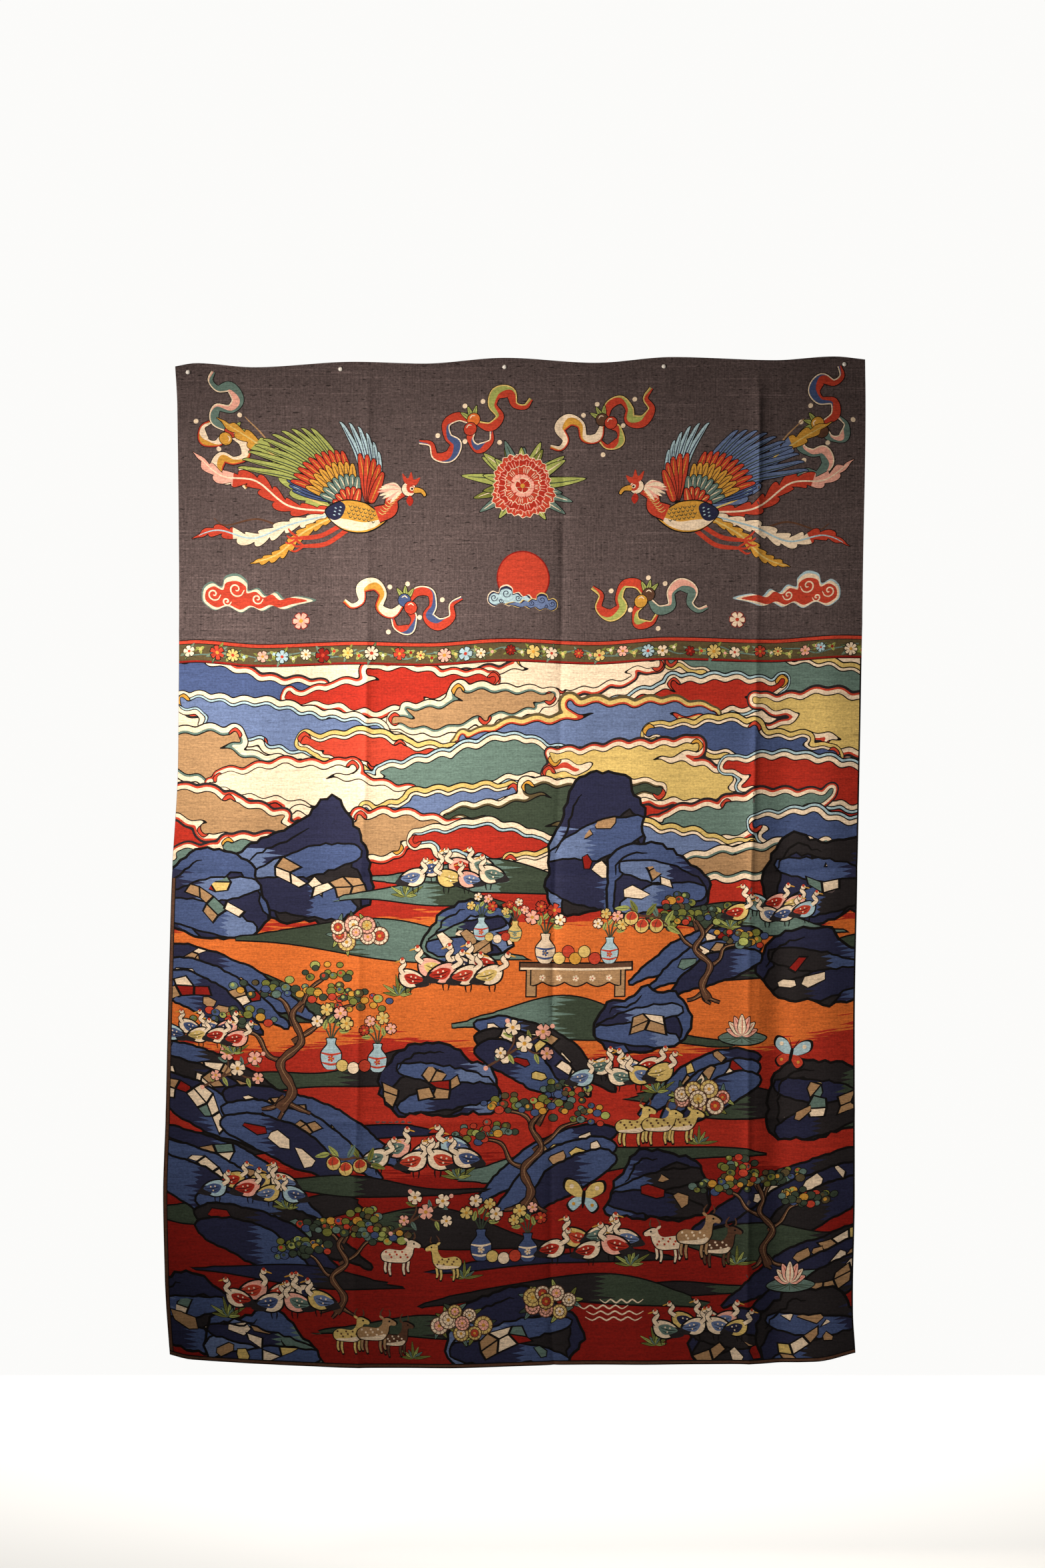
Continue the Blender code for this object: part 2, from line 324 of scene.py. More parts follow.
def contours(field, level, x0, y0, step):
    """The closed loops where a field on a square grid crosses a level, by marching triangles."""
    flat = field.ravel()
    low = flat < level
    cols = field.shape[1]
    number = np.arange(flat.size).reshape(field.shape)
    a, b, c, d = number[:-1, :-1], number[:-1, 1:], number[1:, 1:], number[1:, :-1]
    halves = [np.stack(t, -1).reshape(-1, 3) for t in ((a, b, c), (a, c, d))]
    triangles = np.concatenate(halves)
    crossed = triangles[low[triangles].sum(1) % 3 > 0]
    links = {}
    for p, q, r in crossed.tolist():
        ends = [(min(e), max(e)) for e in ((p, q), (q, r), (r, p)) if low[e[0]] != low[e[1]]]
        links.setdefault(ends[0], []).append(ends[1])
        links.setdefault(ends[1], []).append(ends[0])
    loops = []
    while links:
        here, (ahead, _) = next(iter(links.items()))
        loop = [here]
        while ahead != loop[0]:
            loop.append(ahead)
            one, other = links[ahead]
            ahead, here = (other if one == here else one), ahead
        for edge in loop:
            del links[edge]
        p, q = np.array(loop).T
        t = (level - flat[p]) / (flat[q] - flat[p])
        x = (p % cols) * (1 - t) + (q % cols) * t
        y = (p // cols) * (1 - t) + (q // cols) * t
        loops.append(np.stack([x0 + x * step, y0 + y * step], 1))
    return loops


def even(loop, step):
    """A closed loop with its points step apart, corners softened a little."""
    closed = np.vstack([loop, loop[:1]])
    run = np.concatenate([[0], np.cumsum(np.hypot(*np.diff(closed, axis=0).T))])
    n = max(6, int(run[-1] / step))
    at = np.arange(n) * run[-1] / n
    out = np.stack([np.interp(at, run, closed[:, 0]), np.interp(at, run, closed[:, 1])], 1)
    return out * 0.5 + (np.roll(out, 1, 0) + np.roll(out, -1, 0)) * 0.25


def distance_to(px, py, loops):
    """How far the places of a grid are from the nearest point of some outlines."""
    marks = np.concatenate([even(loop, 2.0) for loop in loops])
    away = np.full(px.shape, 1e9)
    for row in range(len(px)):
        dx = px[row][:, None] - marks[:, 0]
        dy = py[row][:, None] - marks[:, 1]
        away[row] = np.sqrt((dx**2 + dy**2).min(1))
    return away


ACCENTS = ("coral", "gold", "coral")
CLOUD_WAVE, CLOUD_GRID = 3.8, 3.0


def cloud(x, y, wide, tall, fill, rings, seed, arms):
    """A long cloud: pointed arms that reach left and right in turn, with bands all round and swollen tips."""
    rng = random.Random(seed)
    reach = sum(width for _, width in rings)
    gx = np.arange(x - wide / 2 - 40, x + wide / 2 + 40, CLOUD_GRID)
    gy = np.arange(y - tall / 2 - 40, y + tall / 2 + 40, CLOUD_GRID)
    px, py = np.meshgrid(gx, gy)
    start = rng.uniform(0, math.tau)
    pitch = 7.4 + rng.uniform(-0.5, 0.8)

    def shifted(ax, ay):
        down = CLOUD_WAVE * np.sin(ax / pitch + start + ay / 30) + 0.7 * CLOUD_WAVE * np.sin(ax / 23 - start)
        return ax + 0.8 * CLOUD_WAVE * np.sin(ay / 7.0 + ax / 45), ay + down

    wx, wy = shifted(px, py)
    pace = tall / arms
    wide_core, tall_core = wide * rng.uniform(0.26, 0.36), tall * 0.42
    slant = rng.choice((-1, 1)) * rng.uniform(0.5, 0.9) * wide_core / tall_core
    core = np.abs(wx - x - slant * (wy - y)) / wide_core + np.abs(wy - y) / tall_core - 1
    field = core * tall_core * 0.8
    tips = []
    for k in range(arms):
        ay = y - tall / 2 + pace * (k + 0.5)
        root = x + slant * (ay - y) * 0.8
        for side in (-1, 1):
            far = (side > 0) == (slant * (ay - y) > 0)
            share = rng.uniform(0.88, 1.0) if far else rng.uniform(0.05, 0.35)
            tx, ty = x + side * (wide / 2 - reach - 6) * share, ay + rng.uniform(-0.3, 0.3) * pace
            along = np.clip((wx - root) / (tx - root), 0, 1)
            thin = pace * 0.30 * (1 - along) ** 0.6 + 2.4
            arm = np.hypot(wx - root - along * (tx - root), wy - ay - along * (ty - ay)) - thin
            hx, hy = tx - side * 4, ty + rng.choice((-1, 1)) * 7.0
            knob = np.hypot(wx - hx, wy - hy) - 5.0
            if rng.random() < 0.8:
                tips.append((hx, hy, rng.choice(ACCENTS)))
            for new in (arm, knob):
                near = np.maximum(4.0 - np.abs(field - new), 0) / 4.0
                field = np.minimum(field, new) - near**2
    loops = [loop for loop in contours(field, 0, gx[0], gy[0], CLOUD_GRID) if len(loop) > 12]
    away = distance_to(px, py, loops) / (1 - 0.45 * np.clip(np.abs(px - x) * 2 / wide, 0, 1) ** 2)
    top = reach
    for number, (thread, width) in enumerate(rings):
        if number == len(rings) - 1:
            for hx, hy, accent in tips:
                dx, dy = shifted(hx, hy)
                spot = Spot(2 * hx - dx, 2 * hy - dy)
                for r, colour in ((13.6, "ink"), (11.6, accent)):
                    spot.paint([(-r, 0), (0, -r), (r, 0), (0, r)], colour)
        for loop in contours(np.where(field < 0, -away, away), top, gx[0], gy[0], CLOUD_GRID):
            if len(loop) > 12:
                paint(even(loop, 4.0), thread, LINE_LIFT if width < 2.5 else GROUND_LIFT)
        top -= width
    for loop in loops:
        paint(even(loop, 4.0), fill)


TOOTH_PITCH = 4.4
CHIPS = ("cream", "tan", "cream", "tan", "straw", "deep_red", "tan", "cream", "teal", "tan")
# The darker kinds, dark, shade and night, go mostly on the right-hand side of the ground: partly the rocks'
# own darker colours, partly painted shade that darkens that side.
ROCKS = {
    # arch, core, side and slabs before it
    "navy": ("navy", "charcoal", "blue", "sky_blue"),
    "blue": ("blue", "navy", "sky_blue", "navy"),
    "dark": ("charcoal", "navy", "blue", "navy"),
    "pale": ("blue", "sky_blue", "navy", "teal"),
    "shade": ("navy", "charcoal", "charcoal", "blue"),
    "night": ("charcoal", "charcoal", "navy", "pine"),
}


def outward(outline):
    """The unit vector that points out of an outline at each of its points."""
    ahead = np.roll(outline, -1, 0) - np.roll(outline, 1, 0)
    out = np.stack([ahead[:, 1], -ahead[:, 0]], 1) / np.maximum(np.hypot(*ahead.T), 1e-9)[:, None]
    x, y = outline.T
    turning = np.sum(x * np.roll(y, -1) - np.roll(x, -1) * y)
    return out if turning > 0 else -out


def edged(outline, thread, edge_width, lift=GROUND_LIFT, inside=None):
    """A patch with a dark edge all round it."""
    paint(outline + outward(outline) * edge_width, "ink", LINE_LIFT, inside)
    return paint(outline, thread, lift, inside)


MOUND_FOOT, MOUND_ROUGH = 0.12, 0.20


def mound(x, base, wide, tall, lean, rng):
    """The outline of an angular mound of rock, its corners just rounded."""
    foot, rough = MOUND_FOOT, MOUND_ROUGH
    count = rng.choice((7, 8, 9, 10))
    points = []
    for k in range(count + 1):
        a = math.pi * (k + (rng.uniform(-0.34, 0.34) if 0 < k < count else 0)) / count
        swell = 1 + rng.uniform(-rough, rough * 0.6) * (1.4 if k % 2 else 0.7)
        rise = math.sin(a) ** 0.85
        px = -0.5 * math.cos(a) * (1 + rng.uniform(-rough, rough)) + lean * 1.2 * rise**1.3
        points.append((x + wide * px, base - tall * rise * swell))
    low = [(0.30, foot), (0.04, foot * 0.4), (-0.26, foot)]
    points += [(x + wide * (px + rng.uniform(-0.02, 0.02)), base + tall * py) for px, py in low]
    points = np.array(points)
    cut = []
    for before, here, after in zip(np.roll(points, 1, 0), points, np.roll(points, -1, 0)):
        for other in (before, after):
            cut.append(here + (other - here) * min(0.3, 13 / (np.hypot(*(other - here)) + 1e-9)))
    return even(np.array(cut), 4.0)


def teeth_patch(x0, x1, y0, y1, side, thread, rng, inside, reach=26.0):
    """A patch whose upright edge on one side is long teeth, as two wefts interlock."""
    rows = max(3, int((y1 - y0) / TOOTH_PITCH))
    flank = []
    for k in range(rows + 1):
        tooth = rng.uniform(0.3, 1.5) * reach if k % 2 else rng.uniform(-0.25, 0.25) * reach
        flank.append((x1 + side * tooth, y0 + (y1 - y0) * k / rows))
    far = [(x0, y) for y in np.arange(y1, y0, -6.0)]
    top = [(x, y0) for x in np.linspace(x0, flank[0][0], 8)[1:-1]]
    low = [(x, y1) for x in np.linspace(flank[-1][0], x0, 8)[1:-1]]
    paint(np.array(flank + low + far + top), thread, GROUND_LIFT, inside)


def jagged(outline, step, shake, rng):
    """An outline with its points step apart, each shaken in or out, so that it turns in corners."""
    loop = even(np.asarray(outline, float), step)
    return loop + outward(loop) * np.array([rng.uniform(-shake, shake) for _ in loop])[:, None]


def crag(x, base, wide, tall, rng, lean):
    """A craggy outline: a mound with big uneven corners, and small ones along them."""
    big = jagged(mound(x, base, wide, tall, lean, rng), 20 + wide * 0.06, 5 + wide * 0.035, rng)
    return jagged(big, 11.0, 3.6, rng)


def facet(x, y, long, thick, turn, thread, rng, inside):
    """A pale stone with four or five corners and a dark line round it."""
    corners = [(-0.5, -0.1), (-0.30, -0.5), (0.36, -0.46), (0.5, 0.12), (0.24, 0.5), (-0.40, 0.44)]
    points = [((px + rng.uniform(-0.09, 0.09)) * long, (py + rng.uniform(-0.10, 0.10)) * thick)
              for px, py in corners[: rng.choice((5, 6))]]
    edged(np.array(turned(points, x, y, turn)), thread, 2.2, DETAIL_LIFT, inside)


def stones(x, y, size, turn, rng, inside):
    """Pale stones that touch: cells of a small uneven grid, some left out, with dark lines between them."""
    spot = Spot(x, y, size, turn, rng.random() < 0.5)
    across = rng.choice((2, 3, 3))
    corners = {}
    for i in range(across + 1):
        bow = 0.5 * math.sin(math.pi * i / across)
        for j in range(3):
            px = (i - across / 2 + rng.uniform(-0.3, 0.3)) * 0.95
            corners[i, j] = (px, (j - 1 - bow + rng.uniform(-0.24, 0.24)) * 0.56)
    for i in range(across):
        for j in range(2):
            if rng.random() < 0.66:
                cell = spot([corners[i, j], corners[i + 1, j], corners[i + 1, j + 1], corners[i, j + 1]])
                middle = cell.mean(0)
                paint(middle + (cell - middle) * 1.10, "ink", LINE_LIFT, inside)
                paint(middle + (cell - middle) * 0.84, rng.choice(CHIPS), DETAIL_LIFT, inside)


def facets(path, count, size, rng, inside, start):
    """Pale stones along a path, alone or in clutches, unlike in size and colour."""
    run = np.concatenate([[0], np.cumsum(np.hypot(*np.diff(path, axis=0).T))])
    at = run[-1] * start
    for _ in range(count):
        clutch = rng.random() < 0.4
        long = size * (2.3 if clutch else rng.uniform(0.6, 1.7))
        middle = at + long / 2
        if middle > run[-1] * 0.95:
            return
        (x, bx), (y, by) = (np.interp((middle, middle + 5), run, side) for side in path.T)
        turn = math.atan2(by - y, bx - x) + rng.uniform(-0.5, 0.5)
        if clutch:
            stones(x, y, size * 0.95, math.degrees(turn), rng, inside)
        else:
            down, thick = rng.uniform(-0.2, 0.3) * size, size * rng.uniform(0.4, 0.8)
            facet(x, y + down, long, thick, turn, rng.choice(CHIPS), rng, inside)
        at += long + rng.choice((2.0, 3.0, 12.0))


def rock(x, base, wide, tall, seed, kind, lean):
    """Rock whose rim stands round a dark hollow, which slabs and pale stones cross, with a cleft."""
    rng = random.Random(seed)
    rim, hollow, slab, lit = ROCKS[kind]
    edge = crag(x, base, wide, tall, rng, lean)
    body = edged(edge, rim, 4.8)
    way = 1 if lean < 0 else -1
    low = base + tall * 0.2
    teeth_patch(x + way * wide * 0.8, x + way * wide * rng.uniform(0.22, 0.32),
                base - tall * rng.uniform(0.55, 0.8),
                low, -way, lit, rng, body, wide * 0.09 + 8)
    inner = crag(x + lean * wide * 0.5 - way * wide * 0.06, base + tall * 0.10,
                 wide * rng.uniform(0.60, 0.70),
                 tall * rng.uniform(0.74, 0.84), rng, lean * 1.2)
    inside = edged(inner, hollow, 3.6, inside=body)
    # two slabs slant over the hollow, each with a lit end
    for turn, upper, lower, thick, thread, end, under in (
            (way, 0.56, 0.26, 0.13, slab, lit, inside), (-way, 0.20, -0.02, 0.17, rim, slab, body)):
        middle = upper * 0.62 + lower * 0.38
        ends = [(x - turn * wide * 0.42, base - tall * upper), (x + lean * wide * 0.3, base - tall * middle),
                (x + turn * wide * 0.40, base - tall * lower)]
        path = curve(ends, 6.0, closed=False)
        half = tall * thick * (0.25 + 0.75 * np.sin(np.pi * np.linspace(0.10, 0.92, len(path))))
        laid = edged(jagged(strip(path, half, -half), 11.0, 2.4, rng), thread, 3.6, inside=body)
        teeth_patch(x + turn * wide * 0.9, x + turn * wide * rng.uniform(0.08, 0.2), base - tall, low, -turn,
                    end, rng, laid, 18)
        size = 19 + wide * 0.06
        above = path - (0, tall * thick * 0.62 + size * 0.22)
        facets(above, 2 + int(wide > 150), size, rng, under, rng.uniform(0.12, 0.45))
    ridge = edge[int(len(edge) * 0.14): int(len(edge) * 0.34)]
    cleft = ridge + (np.array([(x, base)]) - ridge) * 0.13
    line(cleft, 4.0, "ink", inside=body, ends=(0.3, 0.3), smooth=False)


FOLD_BANDS = 3


def fold(x, y, length, drop, width, threads, seed, flip):
    """A shoulder of rock: long facets side by side that sweep down to one side, pale ones between them."""
    rng = random.Random(seed)
    way = -1 if flip else 1
    t = np.linspace(0, 1, 7)
    for k in range(FOLD_BANDS):
        back = FOLD_BANDS - 1 - k
        long = length * (1 + 0.12 * back)
        path_x = x + way * (long * t + back * width * 0.42 * t)
        path_y = y - back * width * 0.50 * (1 - 0.5 * t) + drop * t**1.5 - 8 * np.sin(np.pi * t)
        path = curve(np.stack([path_x, path_y], 1), 5.0, closed=False)
        s = np.linspace(0, 1, len(path))
        half = width * (0.22 + 0.40 * np.sin(np.pi * np.clip(s * 0.8 + 0.08, 0, 1)))
        half = half * np.clip((1.02 - s) * 2.2, 0, 1) * np.clip(s * 6 + 0.2, 0, 1)
        band_edge = jagged(jagged(strip(path, half, -half), 20.0, 3.0, rng), 8.0, 1.2, rng)
        body = edged(band_edge, threads[k], 4.2)
        low_x = x + way * long * rng.uniform(0.35, 0.6)
        teeth_patch(low_x + way * long * 0.9, low_x, y - width * 2, y + drop + width, -way,
                    threads[(k + 1) % FOLD_BANDS], rng, body, 24)
        if k < FOLD_BANDS - 1 or rng.random() < 0.4:
            facets(path + (0, way * width * 0.12 - 4), 2 + int(length > 190), 21 + width * 0.18, rng, body,
                   rng.uniform(0.1, 0.3))


def slope(x, y, wide, tall, thread, seed, second):
    """A low hill: a long lens of two colours, torn in level steps at its ends, with a dark line round it."""
    rng = random.Random(seed)
    t = np.linspace(0, 1, max(10, int(wide / 13)))
    turns, start = rng.uniform(5, 9), rng.uniform(0, 6)
    rise = np.sin(np.pi * t) ** 0.75 * (0.72 + 0.28 * np.sin(t * turns + start))
    sag = 0.22 * tall * np.sin(t * turns * 0.7 + start + 2) * np.sin(np.pi * t)
    xs = x - wide / 2 + wide * t
    drift = tall * 0.35 * np.sin(t * 4.0 + start)
    top = np.stack([xs, y - tall * rise + drift], 1)
    low = np.stack([xs, y + tall * 0.10 * np.sin(np.pi * t) + sag + drift], 1)
    for i in range(len(xs)):
        share = i / (len(xs) - 1)
        near_end = max(0.0, 1 - min(share, 1 - share) * 5)
        for side in (top, low):
            side[i, 0] += rng.uniform(-1, 1) * 16.0 * near_end
    body = edged(np.vstack([top, low[::-1]]), thread, 2.6)
    cut = x + wide * rng.uniform(-0.15, 0.15)
    side = rng.choice((-1, 1))
    teeth_patch(cut + side * wide, cut, y - tall * 1.5, y + tall, -side, second, rng, body, 34)


LEAVES = ("pine", "moss", "pine", "teal", "blue", "moss", "pine", "olive", "leaf", "coral", "gold")


LEAF_SIZE = 7.0
TRUNK = [(-10, 4), (4, -22), (-12, -56), (12, -84), (2, -112), (12, -134)]
BOUGHS = (
    [(4, -82), (30, -96), (48, -118), (84, -126)],
    [(-8, -56), (-28, -66), (-44, -92), (-80, -100)],
    [(6, -104), (-12, -130), (-36, -142)],
    [(8, -118), (24, -146), (42, -160)],
)
ROOTS = ([(-2, -12), (-16, 0), (-34, 7)], [(-2, -10), (10, 2), (24, 9)], [(-4, -8), (-5, 4), (-12, 14)])
CROWNS = ((88, -132), (-84, -106), (-40, -150), (48, -170), (2, -146), (56, -142), (-52, -112))


def tree(x, y, tall, seed, flip=False):
    """A leaning garden tree: a dark-edged crooked trunk, and flat crowns of round leaves."""
    rng = random.Random(seed)
    spot = Spot(x, y, tall / 200.0, 0, flip)
    for points, width in [(r, 8) for r in ROOTS] + [(b, 6) for b in BOUGHS] + [(TRUNK, 13)]:
        shaken = [(px + rng.uniform(-4, 4), py + rng.uniform(-3, 3)) for px, py in points]
        path = curve(spot(shaken), 4.0, closed=False)
        half = np.linspace(1, 0.4, len(path)) * width / 2 * spot.size
        half = half * (0.9 + 0.16 * np.sin(np.arange(len(path)) * 0.9))
        paint(strip(path, half + 2.0, -half - 2.0), "ink", LINE_LIFT)
        paint(strip(path, half, -half), "brown", LINE_LIFT)
        line(path[2:-2] + (1.2, 0), 1.0, "tan", smooth=False)
    for cx, cy in CROWNS:
        wide, deep = rng.uniform(30, 44), rng.uniform(11, 15)
        for dy, share in ((-0.7, 0.62), (-0.1, 1.0), (0.6, 0.8)):
            count = int(wide * share / 6.2)
            for k in range(count):
                px = (k + 0.5 + rng.uniform(-0.3, 0.3)) / count * 2 - 1
                down = deep * (dy + rng.uniform(-0.35, 0.35) + 0.25 * px * px)
                (lx, ly), = spot((cx + wide * share * px, cy + down))
                size = LEAF_SIZE * rng.uniform(0.8, 1.3)
                disc(lx, ly, size + 1.6, "ink", sides=10, squash=0.82)
                disc(lx, ly, size, rng.choice(LEAVES), sides=10, squash=0.82)
                if rng.random() < 0.4:
                    disc(lx - 1.6, ly - 1.4, size * 0.45, rng.choice(LEAVES), sides=7)


def leaf(spot, x, y, length, width, angle, thread, vein="pine"):
    """A pointed leaf with a rib."""
    a = math.radians(angle)
    outline = [(0, 0), (length * 0.3, width * 0.5), (length * 0.72, width * 0.36), (length, 0),
               (length * 0.7, -width * 0.38), (length * 0.28, -width * 0.5)]
    spot.paint(turned(outline, x, y, a), thread)
    rib = [(0, 0), (length * 0.5, width * 0.06), (length * 0.9, 0)]
    spot.line(turned(rib, x, y, a), max(1.0, width * 0.1), vein)


def inked_leaf(spot, x, y, length, width, longer, wider, angle, thread, vein="pine"):
    """A leaf on a longer and wider dark one."""
    leaf(spot, x, y, length + longer, wider, angle, "ink", "ink")
    leaf(spot, x, y, length, width, angle, thread, vein)


def petal_ring(spot, x, y, count, inner, outer, width, thread, edge=None, start=0.0, lobes=3):
    """A ring of ruffled petals round a centre."""
    for k in range(count):
        a = math.radians(start) + math.tau * k / count
        for grow, colour in ((1.4, edge), (0.0, thread)):
            if not colour:
                continue
            points = [(inner * 0.6, -width * 0.16)]
            for j in range(2 * lobes + 1):
                t = j / (2 * lobes) * 2 - 1
                ruffle = 0.93 if j % 2 else 1.0
                points.append(((outer + grow) * (ruffle - 0.16 * t * t), t * (width / 2 + grow)))
            points.append((inner * 0.6, width * 0.16))
            spot.paint(turned(points, x, y, a), colour)


PEONY_LEAVES = (
    (-168, 1.9), (-140, 1.55), (-112, 1.45), (-68, 1.45), (-38, 1.6), (-10, 1.95), (30, 1.5), (150, 1.5),
)
PEONY_RINGS = (
    # petals, inner and outer radius, width, thread, edge
    (11, 0.30, 1.00, 0.60, "coral", "cream"),
    (9, 0.20, 0.80, 0.54, "red", "pink"),
    (8, 0.10, 0.60, 0.44, "coral", "cream"),
    (6, 0.00, 0.40, 0.32, "pink", "red"),
    (5, 0.00, 0.22, 0.20, "red", "cream"),
)


def peony(spot, size):
    """A full peony over its leaves: ruffled petals, uneven, each with pale veins."""
    rng = random.Random(1)
    for angle, reach in PEONY_LEAVES:
        for off in (-24, 24, 0):
            length = size * reach * (1.0 if off == 0 else 0.8)
            inked_leaf(spot, 0, 0, length, size * 0.31, 2.4, size * 0.36, angle + off,
                       rng.choice(("moss", "leaf", "teal")), rng.choice(("cream", "pine")))
    for count, inner, outer, width, thread, edge in PEONY_RINGS:
        start = rng.uniform(0, 60)
        for k in range(count):
            turn = start + 360 * k / count + rng.uniform(-7, 7)
            reach = size * outer * rng.uniform(0.9, 1.08)
            petal = size * width * rng.uniform(0.9, 1.15)
            petal_ring(spot, 0, 0, 1, size * inner, reach, petal, thread, edge, turn)
            if outer > 0.5:
                for off in (-7, 0, 7):
                    s = math.radians(turn + off)
                    vein = [(reach * f * math.cos(s), reach * f * math.sin(s)) for f in (0.62, 0.78, 0.9)]
                    spot.line(vein, 1.5, edge)
    spot.disc(0, 0, size * 0.07, "gold", LINE_LIFT)


def blossom(spot, x, y, size, thread, heart="gold", petals=5, edge=None, start=0.0):
    """A small open flower."""
    petal_ring(spot, x, y, petals, size * 0.1, size, size * math.pi * 1.15 / petals, thread, edge, start, 1)
    spot.disc(x, y, size * 0.24, heart, LINE_LIFT)


PLUME_TEETH = 9


def plume(spot, points, width, thread, rib, seed, tip=None):
    """A long tail feather: vanes that lick back in flames on each side of a pale rib."""
    path = curve(spot(points), 3.0, closed=False)
    n = len(path)
    t = np.linspace(0, 1, n)
    ahead = np.gradient(path, axis=0)
    ahead /= np.maximum(np.hypot(*ahead.T), 1e-9)[:, None]
    side = np.stack([ahead[:, 1], -ahead[:, 0]], 1)
    swell = (0.3 + 0.7 * np.sin(np.pi * np.clip(t * 0.85 + 0.10, 0, 1))) * np.clip((1 - t) * 7, 0, 1)
    vanes = []
    for way, shift in ((1, 0.0), (-0.8, 0.45)):
        lobe = np.sin(np.pi * ((t * PLUME_TEETH + seed * 0.37 + shift) % 1.0)) ** 0.7
        half = width / 2 * spot.size * swell * (0.40 + 0.72 * lobe)
        back = width * 0.42 * spot.size * swell * lobe
        vanes.append(path + side * (way * half)[:, None] + ahead * back[:, None])
    one, other = vanes
    whole = np.vstack([one, other[::-1]])
    paint(whole + outward(whole) * 1.2, "ink", DETAIL_LIFT)
    paint(whole, thread, DETAIL_LIFT)
    if tip:
        cut = int(n * 0.66)
        paint(np.vstack([one[cut:], other[cut:][::-1]]), tip, DETAIL_LIFT)
    line(path[: int(n * 0.95)], 3.0 * spot.size, rib, ends=(1.0, 0.3), smooth=False)


def feather_row(spot, x, y, count, first, last, inner, outer, width, thread, rib, front, bend=0.0):
    """A fan of overlapping feathers, from the rear ones to the front ones, which may be shorter."""
    for k in range(count):
        t = k / (count - 1)
        a = math.radians(first + (last - first) * t)
        reach = outer * (1 + (front - 1) * t) * (1 + 0.06 * math.sin(math.pi * t))
        curl = bend * (reach - inner)
        middle = (inner + reach) / 2
        side = [(inner, 0.35, 0.0), (middle, 0.5, 0.15), (reach * 0.93, 0.28, 0.75)]
        shape = [(px, -width * w - curl * c) for px, w, c in side] + [(reach, -curl)]
        shape += [(px, width * w - curl * c) for px, w, c in side[::-1]]
        outline = turned(shape, x, y, a)
        wider = curve(spot(outline), 3.0)
        paint(wider + outward(wider) * 1.4, "ink", DETAIL_LIFT)
        spot.paint(outline, thread)
        spot.line(turned([(inner, 0), (middle, -curl * 0.2), (reach * 0.93, -curl * 0.8)], x, y, a), 1.8, rib)


